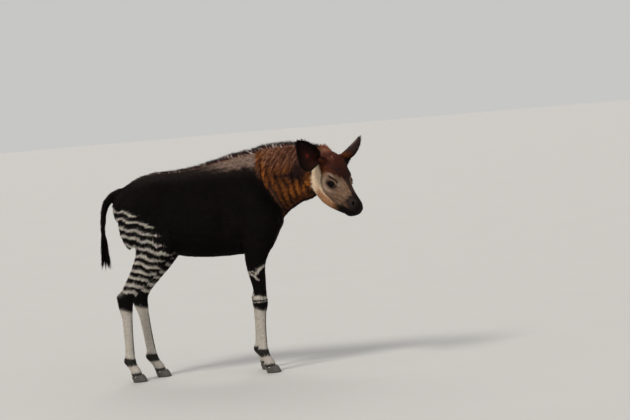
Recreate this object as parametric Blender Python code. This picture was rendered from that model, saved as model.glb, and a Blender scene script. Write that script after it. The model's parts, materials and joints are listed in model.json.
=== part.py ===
"""A young okapi at life size, standing, with its head lowered and turned to its right.

It faces +X, its left side is +Y, and its feet stand on z = 0. The body is modelled whole, from
lofts that are fused and smoothed, and is then parted with thin cuts into torso, neck, head, ears,
tail and legs. The claws and the eyes are separate solids that meet it with a small gap.
"""

import math

import bmesh
import bpy
import numpy as np
from mathutils import Matrix, Vector
from mathutils.bvhtree import BVHTree

# Sizes that set how the flesh is meshed
GAP = 0.0003
VOXEL = 0.005
RING_POINTS = 40
RINGS_BETWEEN = 6
SMOOTHING_ROUNDS = 7
FLESH_TRIANGLES = 7200
HEAD_REACH = 0.26
HEAD_DETAIL = 0.80
HEAD_FAVOUR = 0.0012

# Where the head is carried: its origin is the middle of the skull's back, between the ears
HEAD_ORIGIN = (0.299, -0.075, 1.013)
HEAD_MIDDLE = (0.16, 0.0, 0.0)
HEAD_TURN = math.radians(38)
HEAD_DIP = math.radians(44)

# Eyes, in the head's own frame: forward, left, up
EYE_CENTRE = (0.163, 0.0555, 0.033)
EYE_OUT = (0.24, 0.93, 0.22)
EYE_RADIUS = 0.0200
LID_THICKNESS = 0.0032
LID_HALF_WIDTH = 0.0178
LID_HALF_HEIGHT = 0.0122
LID_TILT = math.radians(8)

# Ears
EAR_ROOT = (0.048, 0.066, 0.080)
EAR_LENGTH = 0.157
EAR_WALL = 0.0042
EAR_ROOT_BALL = (0.021, 0.019, 0.021)
EAR_CUT = 0.026
EAR_CUT_RADIUS = 0.046
RIGHT_EAR_AXIS = (-0.612, -0.789, 0.049)
RIGHT_EAR_FACING = (0.55, -0.65, 0.53)
LEFT_EAR_AXIS = (-0.399, 0.860, 0.316)
LEFT_EAR_FACING = (0.85, 0.50, -0.06)

# Mouth and nostrils, in the head's own frame
MOUTH_LINE = (
    (0.208, 0.0480, -0.0520),
    (0.238, 0.0450, -0.0400),
    (0.266, 0.0430, -0.0270),
    (0.292, 0.0410, -0.0160),
    (0.314, 0.0370, -0.0080),
    (0.331, 0.0270, -0.0045),
    (0.342, 0.0130, -0.0035),
    (0.3455, 0.0000, -0.0035),
)
MOUTH_DEPTH = 0.0075
MOUTH_OPENING = 0.0034
NOSTRIL_CENTRE = (0.306, 0.0270, 0.0260)
NOSTRIL_RADII = (0.0115, 0.0058, 0.0090)

# Legs: how far each foot stands ahead of its plain place
FORE_RIGHT_STEP = 0.0
FORE_LEFT_STEP = -0.045
HIND_RIGHT_STEP = -0.045
HIND_LEFT_STEP = 0.055
FORE_SWING_HEIGHT = 0.95
HIND_SWING_HEIGHT = 0.78

# Claws
CLAW_LENGTH = 0.068
CLAW_WIDTH = 0.0265
CLAW_SLOT = 0.0042
CORONET_HEIGHT = 0.036
CORONET_SLOPE = 0.20

# Mane
MANE_HEIGHT = 0.032
MANE_SPACING = 0.0150
MANE_WIDTH = 0.0190
MANE_THICKNESS = 0.0070
MANE_LEAN = math.radians(38)
MANE_SPLAY = math.radians(13)
TAIL_TUFT_LENGTH = 0.105

# Sections of the torso: top x, top z, bottom x, bottom z, half width, height of the widest line
# as a share, and how full the upper and the lower half are, where 2 is an ellipse
TORSO = (
    (0.104, 0.880, 0.098, 0.800, 0.030, 0.50, 2.0, 2.0),
    (0.094, 0.940, 0.088, 0.735, 0.066, 0.50, 2.0, 2.0),
    (0.060, 1.010, 0.050, 0.672, 0.094, 0.46, 1.9, 2.0),
    (0.010, 1.064, 0.000, 0.628, 0.110, 0.42, 1.75, 2.0),
    (-0.050, 1.086, -0.050, 0.606, 0.119, 0.40, 1.65, 2.0),
    (-0.120, 1.082, -0.120, 0.597, 0.127, 0.41, 1.7, 2.1),
    (-0.215, 1.064, -0.220, 0.594, 0.137, 0.43, 1.85, 2.2),
    (-0.320, 1.043, -0.330, 0.598, 0.144, 0.45, 2.0, 2.25),
    (-0.430, 1.032, -0.440, 0.614, 0.142, 0.48, 2.05, 2.2),
    (-0.525, 1.032, -0.520, 0.645, 0.131, 0.52, 2.05, 2.1),
    (-0.605, 1.020, -0.595, 0.690, 0.121, 0.52, 2.05, 2.0),
    (-0.680, 0.990, -0.665, 0.735, 0.103, 0.52, 2.0, 2.0),
    (-0.735, 0.948, -0.722, 0.775, 0.077, 0.50, 2.0, 2.0),
    (-0.762, 0.902, -0.755, 0.820, 0.040, 0.50, 2.0, 2.0),
)

# Sections of the neck: crest x, crest z, throat x, throat z, middle y, half width, then as above
NECK = (
    (-0.110, 1.070, 0.040, 0.700, 0.000, 0.084, 0.50, 1.9, 2.0),
    (-0.040, 1.094, 0.084, 0.748, 0.000, 0.086, 0.46, 1.75, 2.0),
    (0.030, 1.110, 0.118, 0.786, -0.006, 0.078, 0.44, 1.7, 2.0),
    (0.100, 1.117, 0.162, 0.815, -0.020, 0.070, 0.44, 1.7, 2.0),
    (0.165, 1.115, 0.206, 0.838, -0.038, 0.064, 0.46, 1.75, 2.0),
    (0.225, 1.107, 0.250, 0.850, -0.057, 0.061, 0.48, 1.85, 2.0),
    (0.285, 1.086, 0.305, 0.880, -0.075, 0.054, 0.50, 2.0, 2.0),
)

# Sections of the head in its own frame: top forward, top up, bottom forward, bottom up, half width,
# then as above
HEAD = (
    (-0.052, 0.066, -0.020, -0.050, 0.046, 0.50, 2.0, 2.0),
    (-0.030, 0.087, 0.008, -0.078, 0.056, 0.55, 2.0, 2.0),
    (0.004, 0.103, 0.042, -0.097, 0.064, 0.58, 2.0, 1.95),
    (0.040, 0.118, 0.072, -0.111, 0.071, 0.59, 1.95, 1.9),
    (0.078, 0.123, 0.100, -0.119, 0.0755, 0.59, 1.9, 1.9),
    (0.116, 0.115, 0.130, -0.122, 0.0775, 0.60, 1.9, 1.9),
    (0.152, 0.097, 0.162, -0.119, 0.075, 0.60, 1.9, 1.9),
    (0.188, 0.075, 0.194, -0.109, 0.0625, 0.58, 1.9, 1.9),
    (0.226, 0.059, 0.228, -0.095, 0.0500, 0.56, 1.9, 1.9),
    (0.262, 0.051, 0.260, -0.080, 0.0440, 0.54, 1.95, 1.95),
    (0.292, 0.046, 0.288, -0.065, 0.0425, 0.50, 2.0, 2.1),
    (0.316, 0.039, 0.311, -0.054, 0.0420, 0.48, 2.1, 2.1),
    (0.334, 0.024, 0.328, -0.042, 0.0360, 0.47, 2.1, 2.0),
    (0.344, 0.004, 0.339, -0.028, 0.0230, 0.46, 2.0, 2.0),
)

# Sections of a foreleg: x, z, middle y, half depth, half width
FORELEG = (
    (-0.082, 1.000, 0.058, 0.040, 0.020),
    (-0.062, 0.930, 0.072, 0.068, 0.032),
    (-0.036, 0.855, 0.084, 0.088, 0.043),
    (-0.012, 0.765, 0.094, 0.093, 0.049),
    (-0.026, 0.680, 0.094, 0.083, 0.046),
    (-0.047, 0.610, 0.089, 0.063, 0.040),
    (-0.056, 0.540, 0.085, 0.048, 0.035),
    (-0.050, 0.465, 0.082, 0.038, 0.030),
    (-0.045, 0.405, 0.081, 0.031, 0.0275),
    (-0.047, 0.368, 0.081, 0.034, 0.0310),
    (-0.049, 0.336, 0.081, 0.033, 0.0305),
    (-0.051, 0.300, 0.081, 0.0265, 0.0255),
    (-0.052, 0.255, 0.081, 0.0225, 0.0210),
    (-0.053, 0.195, 0.081, 0.0208, 0.0195),
    (-0.054, 0.142, 0.081, 0.0220, 0.0208),
    (-0.055, 0.109, 0.081, 0.0275, 0.0255),
    (-0.042, 0.077, 0.081, 0.0222, 0.0225),
    (-0.030, 0.050, 0.081, 0.0262, 0.0262),
    (-0.022, 0.020, 0.081, 0.0260, 0.0250),
)

# Sections of a hind leg, from the hip to the foot
HINDLEG = (
    (-0.575, 0.930, 0.066, 0.090, 0.045),
    (-0.590, 0.850, 0.080, 0.130, 0.056),
    (-0.580, 0.765, 0.087, 0.142, 0.062),
    (-0.552, 0.690, 0.090, 0.116, 0.058),
    (-0.575, 0.615, 0.087, 0.080, 0.047),
    (-0.624, 0.540, 0.082, 0.056, 0.037),
    (-0.668, 0.480, 0.078, 0.042, 0.030),
    (-0.696, 0.437, 0.076, 0.038, 0.0275),
    (-0.708, 0.402, 0.075, 0.039, 0.0285),
    (-0.706, 0.365, 0.075, 0.034, 0.0275),
    (-0.702, 0.325, 0.075, 0.0270, 0.0235),
    (-0.699, 0.260, 0.075, 0.0240, 0.0205),
    (-0.696, 0.190, 0.075, 0.0232, 0.0200),
    (-0.694, 0.143, 0.075, 0.0240, 0.0212),
    (-0.694, 0.110, 0.075, 0.0290, 0.0255),
    (-0.679, 0.077, 0.075, 0.0230, 0.0225),
    (-0.666, 0.050, 0.075, 0.0265, 0.0262),
    (-0.657, 0.020, 0.075, 0.0260, 0.0250),
)

# Sections of the tail's dock: x, z, middle y, half depth, half width
TAIL = (
    (-0.690, 0.955, 0.0, 0.026, 0.030),
    (-0.744, 0.943, 0.0, 0.024, 0.026),
    (-0.790, 0.912, 0.0, 0.020, 0.021),
    (-0.815, 0.855, 0.0, 0.0155, 0.0165),
    (-0.825, 0.780, 0.0, 0.0125, 0.0130),
    (-0.827, 0.710, 0.0, 0.0105, 0.0105),
    (-0.826, 0.672, 0.0, 0.0080, 0.0080),
)

# Muscles, bones and hollows of the body, on both sides: x, y, z, reach in x, y and z, and how far
# the skin stands out there
BODY_SWELLS = (
    (-0.080, 0.070, 1.010, 0.050, 0.050, 0.075, 0.007),
    (0.040, 0.100, 0.775, 0.048, 0.050, 0.055, 0.009),
    (-0.105, 0.120, 0.745, 0.060, 0.060, 0.070, 0.010),
    (-0.182, 0.130, 0.800, 0.028, 0.060, 0.120, -0.009),
    (-0.300, 0.150, 0.760, 0.110, 0.060, 0.100, 0.005),
    (-0.468, 0.135, 0.915, 0.045, 0.060, 0.060, -0.014),
    (-0.515, 0.105, 1.003, 0.028, 0.035, 0.026, 0.008),
    (-0.610, 0.140, 0.850, 0.080, 0.070, 0.090, 0.010),
    (-0.478, 0.120, 0.690, 0.040, 0.050, 0.045, 0.008),
    (-0.720, 0.080, 0.850, 0.035, 0.040, 0.060, 0.006),
    (0.048, 0.085, 0.920, 0.026, 0.050, 0.090, -0.007),
    (-0.118, 0.090, 0.655, 0.024, 0.030, 0.026, 0.011),
)

# Points of the forelegs' joints, which move as those legs are set: the front of the knee, the bone
# behind it and the ergot
FORE_POINTS = (
    (-0.012, 0.081, 0.352, 0.014, 0.022, 0.026, 0.0025),
    (-0.080, 0.081, 0.372, 0.014, 0.020, 0.018, 0.0040),
    (-0.084, 0.081, 0.104, 0.012, 0.018, 0.014, 0.0040),
)

# The same on the hind legs: the point of the hock and the ergot
HIND_POINTS = (
    (-0.742, 0.075, 0.438, 0.016, 0.018, 0.024, 0.013),
    (-0.724, 0.075, 0.105, 0.012, 0.018, 0.014, 0.004),
)

# The same for the head, in its own frame
HEAD_SWELLS = (
    (0.105, 0.060, -0.060, 0.040, 0.030, 0.034, 0.0060),
    (0.162, 0.066, 0.073, 0.026, 0.020, 0.014, 0.0090),
    (0.098, 0.072, 0.055, 0.018, 0.018, 0.016, -0.0030),
    (0.198, 0.054, 0.028, 0.016, 0.020, 0.016, -0.0035),
    (0.198, 0.056, -0.010, 0.040, 0.020, 0.010, 0.0028),
    (0.216, 0.048, -0.046, 0.028, 0.022, 0.014, -0.0040),
    (0.240, 0.014, 0.057, 0.050, 0.014, 0.016, 0.0020),
    (0.300, 0.036, 0.020, 0.016, 0.014, 0.014, 0.0035),
    (0.318, 0.034, 0.004, 0.020, 0.016, 0.008, 0.0030),
    (0.312, 0.020, -0.048, 0.018, 0.020, 0.012, 0.0030),
    (0.085, 0.034, 0.116, 0.013, 0.013, 0.016, 0.0035),
    (0.048, 0.062, 0.080, 0.022, 0.022, 0.022, 0.0060),
    (0.130, 0.016, -0.112, 0.050, 0.014, 0.016, -0.0050),
)

# Along an ear, from root to tip: share of its length, half width, half the angle it wraps, and how
# far its middle lies towards the poll
EAR_SHAPE = (
    (0.00, 0.0175, 160.0, 0.000),
    (0.09, 0.0200, 152.0, -0.003),
    (0.175, 0.0310, 128.0, -0.009),
    (0.28, 0.0500, 98.0, -0.0145),
    (0.40, 0.0625, 80.0, -0.015),
    (0.55, 0.0640, 68.0, -0.009),
    (0.72, 0.0540, 58.0, 0.003),
    (0.88, 0.0340, 48.0, 0.019),
    (1.00, 0.0110, 40.0, 0.031),
)

# Along a mane lock or tail lock: share of its height, and its width there as a share
LOCK_SHAPE = ((-0.30, 0.80), (0.30, 1.0), (0.74, 0.60))


def new_object(name, mesh):
    """An object that shows this mesh."""
    made = bpy.data.objects.new(name, mesh)
    bpy.context.scene.collection.objects.link(made)
    return made


def mesh_from(name, points, faces):
    """A mesh from its points and faces."""
    mesh = bpy.data.meshes.new(name)
    mesh.from_pydata([tuple(p) for p in points], [], [tuple(f) for f in faces])
    mesh.update()
    return mesh


def facing_out(mesh):
    """Turns a closed mesh's faces to point outwards."""
    work = bmesh.new()
    work.from_mesh(mesh)
    bmesh.ops.recalc_face_normals(work, faces=work.faces)
    work.to_mesh(mesh)
    work.free()
    return mesh


def spline(rows, between):
    """Rows on a smooth curve through the given ones, with so many steps between each pair."""
    rows = np.array(rows, float)
    ends = np.vstack([2 * rows[0] - rows[1], rows, 2 * rows[-1] - rows[-2]])
    smooth = []
    for i in range(len(rows) - 1):
        before, start, stop, after = ends[i : i + 4]
        for step in range(between):
            t = step / between
            smooth.append(
                0.5
                * (
                    2 * start
                    + (stop - before) * t
                    + (2 * before - 5 * start + 4 * stop - after) * t**2
                    + (3 * start - before - 3 * stop + after) * t**3
                )
            )
    return np.array(smooth + [rows[-1]])


def section(top, bottom, side, half_width, widest, upper, lower):
    """Points round a section that runs from its bottom point to its top point."""
    turn = np.arange(RING_POINTS) * 2 * math.pi / RING_POINTS
    across, rise = np.cos(turn), np.sin(turn)
    fullness = np.where(rise > 0, upper, lower)
    across = np.sign(across) * np.abs(across) ** (2 / fullness) * half_width
    share = np.abs(rise) ** (2 / fullness)
    height = np.where(rise > 0, widest + (1 - widest) * share, widest * (1 - share))
    return bottom + np.outer(height, top - bottom) + np.outer(across, side)


def loft(name, rings):
    """A closed mesh through rings of points, with a pole at each end."""
    points = [p for ring in rings for p in ring]
    count = len(rings[0])
    faces = []
    for low in range(len(rings) - 1):
        for k in range(count):
            near, far = low * count + k, low * count + (k + 1) % count
            faces.append((near, far, far + count, near + count))
    for ring in (0, len(rings) - 1):
        pole = len(points)
        points.append(np.mean(rings[ring], axis=0))
        for k in range(count):
            faces.append((ring * count + k, ring * count + (k + 1) % count, pole))
    return facing_out(mesh_from(name, points, faces))


def head_matrix():
    """The head's frame: forward along the face, to its left, and up through the brow."""
    turn, dip = HEAD_TURN, HEAD_DIP
    forward = Vector((math.cos(dip) * math.cos(turn), -math.cos(dip) * math.sin(turn), -math.sin(dip)))
    left = Vector((math.sin(turn), math.cos(turn), 0))
    up = forward.cross(left)
    frame = Matrix((forward, left, up)).transposed().to_4x4()
    frame.translation = HEAD_ORIGIN
    return frame


def torso_rings():
    """Rings of the torso, from breast to buttock."""
    side = np.array((0.0, 1.0, 0.0))
    for tx, tz, bx, bz, width, widest, upper, lower in spline(TORSO, RINGS_BETWEEN):
        yield section(np.array((tx, 0, tz)), np.array((bx, 0, bz)), side, width, widest, upper, lower)


def neck_rings():
    """Rings of the neck, which bends to the animal's right as it nears the head."""
    rows = spline(NECK, RINGS_BETWEEN)
    middles = np.column_stack([(rows[:, 0] + rows[:, 2]) / 2, rows[:, 4]])
    headings = np.gradient(middles, axis=0)
    for row, (dx, dy) in zip(rows, headings):
        side = np.array((-dy, dx, 0)) / math.hypot(dx, dy)
        top, bottom = np.array((row[0], row[4], row[1])), np.array((row[2], row[4], row[3]))
        yield section(top, bottom, side, *row[5:])


def head_rings():
    """Rings of the head, from nape to lips."""
    place = np.array(head_matrix())
    side = np.array((0.0, 1.0, 0.0))
    for ts, tu, bs, bu, width, widest, upper, lower in spline(HEAD, RINGS_BETWEEN):
        ring = section(np.array((ts, 0, tu)), np.array((bs, 0, bu)), side, width, widest, upper, lower)
        yield ring @ place[:3, :3].T + place[:3, 3]


def swung(x, z, step, height):
    """Where a point of a leg comes when its foot steps forward, hinged near the body."""
    return x + step * np.clip(1 - z / height, 0, 1)


def limb_rings(rows, hand, step=0.0, height=1.0):
    """Rings square to a limb that runs down from the body. hand is 1 on the left, -1 on the right."""
    rows = spline(rows, RINGS_BETWEEN)
    middles = np.column_stack([swung(rows[:, 0], rows[:, 1], step, height), rows[:, 2] * hand, rows[:, 1]])
    along = np.gradient(middles, axis=0)
    side = np.array((0.0, 1.0, 0.0))
    for middle, way, row in zip(middles, along, rows):
        front = np.cross(side, way)
        front /= np.linalg.norm(front)
        if front[0] < 0:
            front = -front
        reach = front * row[3]
        yield section(middle + reach, middle - reach, side, row[4], 0.5, 2.0, 2.0)


def evaluated_mesh(shape):
    """The mesh of an object with its modifiers applied, and the object taken away."""
    bpy.context.view_layer.update()
    graph = bpy.context.evaluated_depsgraph_get()
    mesh = bpy.data.meshes.new_from_object(shape.evaluated_get(graph))
    bpy.data.objects.remove(shape)
    return mesh


def joined(name, meshes):
    """One mesh that holds several, without fusing them."""
    work = bmesh.new()
    for mesh in meshes:
        work.from_mesh(mesh)
    whole = bpy.data.meshes.new(name)
    work.to_mesh(whole)
    work.free()
    return whole


def points_of(mesh):
    """The mesh's points and their normals."""
    points = np.empty(len(mesh.vertices) * 3)
    normals = np.empty(len(mesh.vertices) * 3, np.float32)
    mesh.vertices.foreach_get("co", points)
    mesh.vertex_normals.foreach_get("vector", normals)
    return points.reshape(-1, 3), normals.reshape(-1, 3).astype(float)


def swell(points, normals, local, swells):
    """Moves points out along their normals round each place in a list of swells and hollows."""
    for x, y, z, rx, ry, rz, height in swells:
        away = (local - (x, y, z)) / (rx, ry, rz)
        points += normals * (height * np.exp(-(away**2).sum(axis=1)))[:, None]


def mirrored(swells):
    """The same swells on the right side."""
    return [(x, -y, z, *rest) for x, y, z, *rest in swells]


def leg_swells():
    """The points of the legs' joints, on legs that have stepped."""
    for points, height, steps in (
        (FORE_POINTS, FORE_SWING_HEIGHT, (FORE_LEFT_STEP, FORE_RIGHT_STEP)),
        (HIND_POINTS, HIND_SWING_HEIGHT, (HIND_LEFT_STEP, HIND_RIGHT_STEP)),
    ):
        for hand, step in zip((1, -1), steps):
            for x, y, z, *rest in points:
                yield (swung(x, z, step, height), hand * y, z, *rest)


def shape_muscles(mesh):
    """Raises muscles and bones and sinks hollows in the smoothed flesh."""
    points, normals = points_of(mesh)
    body_only = points[:, 0] < 0.20
    flat = normals * body_only[:, None]
    swell(points, flat, points.copy(), [*BODY_SWELLS, *mirrored(BODY_SWELLS), *leg_swells()])
    back = np.array(head_matrix().inverted())
    local = points @ back[:3, :3].T + back[:3, 3]
    swell(points, normals, local, [*HEAD_SWELLS, *mirrored(HEAD_SWELLS)])
    mesh.vertices.foreach_set("co", points.ravel())
    mesh.update()


def flesh():
    """The whole body without ears, claws or mane, as one smooth closed mesh."""
    lofts = [
        loft("torso", list(torso_rings())),
        loft("neck", list(neck_rings())),
        loft("head", list(head_rings())),
        loft("tail", list(limb_rings(TAIL, 1))),
        loft("fore_left", list(limb_rings(FORELEG, 1, FORE_LEFT_STEP, FORE_SWING_HEIGHT))),
        loft("fore_right", list(limb_rings(FORELEG, -1, FORE_RIGHT_STEP, FORE_SWING_HEIGHT))),
        loft("hind_left", list(limb_rings(HINDLEG, 1, HIND_LEFT_STEP, HIND_SWING_HEIGHT))),
        loft("hind_right", list(limb_rings(HINDLEG, -1, HIND_RIGHT_STEP, HIND_SWING_HEIGHT))),
    ]
    whole = new_object("flesh", joined("flesh", lofts))
    fuse = whole.modifiers.new("fuse", "REMESH")
    fuse.mode = "VOXEL"
    fuse.voxel_size = VOXEL
    ease = whole.modifiers.new("ease", "SMOOTH")
    ease.factor = 0.5
    ease.iterations = SMOOTHING_ROUNDS
    mesh = evaluated_mesh(whole)
    shape_muscles(mesh)
    return mesh


def coarser(mesh):
    """The flesh in fewer triangles, with most of them kept for the head."""
    whole = new_object("flesh", mesh)
    points, _ = points_of(mesh)
    away = np.linalg.norm(points - np.array(head_matrix() @ Vector(HEAD_MIDDLE)), axis=1)
    shares = 1 - HEAD_DETAIL * np.clip((HEAD_REACH - away) / 0.06, 0, 1)
    body = whole.vertex_groups.new(name="body")
    for index, share in enumerate(shares):
        body.add([index], float(share), "REPLACE")
    thin = whole.modifiers.new("thin", "DECIMATE")
    thin.vertex_group = "body"
    thin.vertex_group_factor = HEAD_FAVOUR
    thin.ratio = FLESH_TRIANGLES / (2 * len(mesh.polygons))
    return evaluated_mesh(whole)


def ball(name, centre, radii, turn=None, segments=20, rings=12):
    """An ellipsoid, turned by a rotation if one is given."""
    work = bmesh.new()
    bmesh.ops.create_uvsphere(work, u_segments=segments, v_segments=rings, radius=1)
    matrix = Matrix.Translation(centre) @ (turn or Matrix.Identity(3)).to_4x4() @ Matrix.Diagonal((*radii, 1))
    bmesh.ops.transform(work, matrix=matrix, verts=work.verts)
    mesh = bpy.data.meshes.new(name)
    work.to_mesh(mesh)
    work.free()
    return mesh


def frame_of(out, guide):
    """A rotation whose Z is out, and whose X lies as near to guide as it can."""
    z = Vector(out).normalized()
    x = (Vector(guide) - z * z.dot(Vector(guide))).normalized()
    return Matrix((x, z.cross(x), z)).transposed()


def boolean(mesh, operation, cutters, solver="MANIFOLD"):
    """The mesh after a Boolean with a list of closed meshes."""
    pieces = bpy.data.collections.new("pieces")
    bpy.context.scene.collection.children.link(pieces)
    for cutter in cutters:
        pieces.objects.link(bpy.data.objects.new("piece", cutter))
    base = new_object("base", mesh)
    step = base.modifiers.new("step", "BOOLEAN")
    step.operation = operation
    step.solver = solver
    step.operand_type = "COLLECTION"
    step.collection = pieces
    result = evaluated_mesh(base)
    for piece in list(pieces.objects):
        bpy.data.objects.remove(piece)
    bpy.data.collections.remove(pieces)
    return result


def eye_frame(hand):
    """An eye's centre and a rotation that looks out of it, in the world."""
    place = head_matrix()
    forward, left, up = EYE_CENTRE
    centre = place @ Vector((forward, hand * left, up))
    out = place.to_3x3() @ Vector((EYE_OUT[0], hand * EYE_OUT[1], EYE_OUT[2]))
    along = place.to_3x3() @ Vector((math.cos(LID_TILT), 0, math.sin(LID_TILT)))
    return centre, frame_of(out, along)


def lid_opening(hand):
    """A prism with an almond outline that opens the lids of one eye."""
    centre, turn = eye_frame(hand)
    steps = 20
    points, faces = [], []
    for height, spread in ((0.45, 0.90), (2.2, 1.25)):
        for k in range(steps):
            angle = 2 * math.pi * k / steps
            across = math.cos(angle) * LID_HALF_WIDTH
            rise = math.copysign(abs(math.sin(angle)) ** 1.25, math.sin(angle)) * LID_HALF_HEIGHT
            points.append(centre + turn @ Vector((across * spread, rise * spread, height * EYE_RADIUS)))
    for k in range(steps):
        after = (k + 1) % steps
        faces.append((k, after, after + steps, k + steps))
    faces.append(tuple(range(steps)))
    faces.append(tuple(range(steps, 2 * steps)))
    return facing_out(mesh_from("opening", points, faces))


def surface_of(mesh):
    """A tree that finds the nearest point of the skin, and which way the skin faces there."""
    points, _ = points_of(mesh)
    return BVHTree.FromPolygons(points.tolist(), [tuple(p.vertices) for p in mesh.polygons])


def mouth_cutter(skin):
    """A wedge that follows the skin round the muzzle and cuts the line between the lips."""
    place = head_matrix()
    half = spline(MOUTH_LINE, 2)
    line = [(s, -l, u) for s, l, u in half] + [tuple(row) for row in half[-2::-1]]
    line = [place @ Vector(p) for p in line]
    up = place.to_3x3() @ Vector((0, 0, 1))
    points, faces = [], []
    for k, guess in enumerate(line):
        along = line[min(k + 1, len(line) - 1)] - line[max(k - 1, 0)]
        out = along.cross(up).normalized()
        middle = skin.find_nearest(guess)[0]
        for reach, opening in ((0.010, MOUTH_OPENING * 2.0), (-MOUTH_DEPTH, 0.0006)):
            for lift in (opening / 2, -opening / 2):
                points.append(middle + out * reach + up * lift)
        if k:
            old, new = 4 * (k - 1), 4 * k
            for a, b in ((0, 1), (1, 3), (3, 2), (2, 0)):
                faces.append((old + a, old + b, new + b))
                faces.append((old + a, new + b, new + a))
    last = len(points) - 4
    faces += [(0, 1, 3, 2), (last, last + 1, last + 3, last + 2)]
    return facing_out(mesh_from("mouth", points, faces))


def nostril(hand, skin):
    """A slanting pit on one side of the nose."""
    place = head_matrix()
    forward, left, up = NOSTRIL_CENTRE
    centre, out = skin.find_nearest(place @ Vector((forward, hand * left, up)))[:2]
    along = place.to_3x3() @ Vector((0.30, -hand * 0.30, -0.90))
    return ball("nostril", centre - out * 0.0035, NOSTRIL_RADII, frame_of(out, along), 14, 8)


def ear_frame(hand):
    """An ear's root, and its axis, width and facing, in the world."""
    place = head_matrix()
    axis = Vector(LEFT_EAR_AXIS if hand > 0 else RIGHT_EAR_AXIS).normalized()
    facing = Vector(LEFT_EAR_FACING if hand > 0 else RIGHT_EAR_FACING)
    facing = (facing - axis * axis.dot(facing)).normalized()
    root = place @ Vector((EAR_ROOT[0], hand * EAR_ROOT[1], EAR_ROOT[2]))
    turn = place.to_3x3()
    return root, turn @ axis, turn @ axis.cross(facing), turn @ facing


def ear_point(frame, row, across, inset):
    """A point on an ear's wall, inset from its outer face towards the hollow."""
    root, axis, width, facing = frame
    share, half_width, wrap, bend = row[0], row[1], math.radians(row[2]), row[3]
    radius = half_width / math.sin(min(wrap, math.pi / 2))
    angle = across * wrap
    depth = radius - EAR_SHAPE[0][1] * (1 - share) - (radius - inset) * math.cos(angle)
    aside = (radius - inset) * math.sin(angle) + bend
    return root + axis * (EAR_LENGTH * share) + width * aside + facing * depth


def ear_cup(hand):
    """One cupped ear as a thin closed wall, open along its front."""
    frame = ear_frame(hand)
    rows = spline(EAR_SHAPE, 2)
    columns = 10
    outer, inner = [], []
    for share, half_width, wrap, bend in rows:
        row = (share, half_width, wrap, -hand * bend)
        wall = EAR_WALL * (1 - 0.5 * share)
        for k in range(columns + 1):
            across = 2 * k / columns - 1
            thin = wall * (1 - 0.45 * abs(across) ** 3)
            outer.append(ear_point(frame, row, across, 0.0))
            inner.append(ear_point(frame, row, across, thin))
    offset = len(outer)
    wide = columns + 1
    faces = []
    for row in range(len(rows) - 1):
        for k in range(columns):
            a = row * wide + k
            for p, q, r in ((a, a + 1, a + wide), (a + 1, a + wide + 1, a + wide)):
                faces.append((p, q, r))
                faces.append((r + offset, q + offset, p + offset))
    rim = list(range(wide))
    rim += [row * wide + columns for row in range(1, len(rows))]
    rim += [(len(rows) - 1) * wide + k for k in range(columns - 1, -1, -1)]
    rim += [row * wide for row in range(len(rows) - 2, 0, -1)]
    for a, b in zip(rim, rim[1:] + rim[:1]):
        faces.append((b, a, a + offset))
        faces.append((b, a + offset, b + offset))
    return facing_out(mesh_from("ear", outer + inner, faces))


def ear_root(hand):
    """The swelling that an ear grows from."""
    root, axis, width, _ = ear_frame(hand)
    return ball("ear_root", root - axis * 0.002, EAR_ROOT_BALL, frame_of(width, axis), 16, 8)


def lock(root, up, along, height, width, thickness, bend):
    """One flat tapered lock of hair: it stands along up, is wide along `along`, and bends that way."""
    up, along = Vector(up).normalized(), Vector(along).normalized()
    side = up.cross(along).normalized()
    points, faces = [], []
    for share, wide in LOCK_SHAPE:
        middle = Vector(root) + up * (height * share) - along * (bend * max(share, 0) ** 2)
        for a, b in ((0.5, 0), (0, 0.5), (-0.5, 0), (0, -0.5)):
            points.append(middle + along * (a * width * wide) + side * (b * thickness * wide))
    tip = len(points)
    points.append(Vector(root) + up * height - along * bend)
    for ring in range(len(LOCK_SHAPE) - 1):
        for k in range(4):
            a, b = ring * 4 + k, ring * 4 + (k + 1) % 4
            faces.append((a, b, b + 4, a + 4))
    for k in range(4):
        faces.append((tip - 4 + k, tip - 4 + (k + 1) % 4, tip))
    faces.append((0, 1, 2, 3))
    return facing_out(mesh_from("lock", points, faces))


def crest_line():
    """Points along the top of the neck and back, from the poll to the croup, close together."""
    place = head_matrix()
    poll = [tuple(place @ Vector((r[0], 0, r[1]))) for r in spline(HEAD, 12) if -0.03 < r[0] < 0.022]
    neck = [(r[0], r[4], r[1]) for r in spline(NECK, 12) if -0.02 < r[0] < 0.272]
    back = [(r[0], 0.0, r[1]) for r in spline(TORSO, 12) if -0.66 < r[0] < -0.05]
    return np.array(poll[::-1] + neck[::-1] + back)


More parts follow.
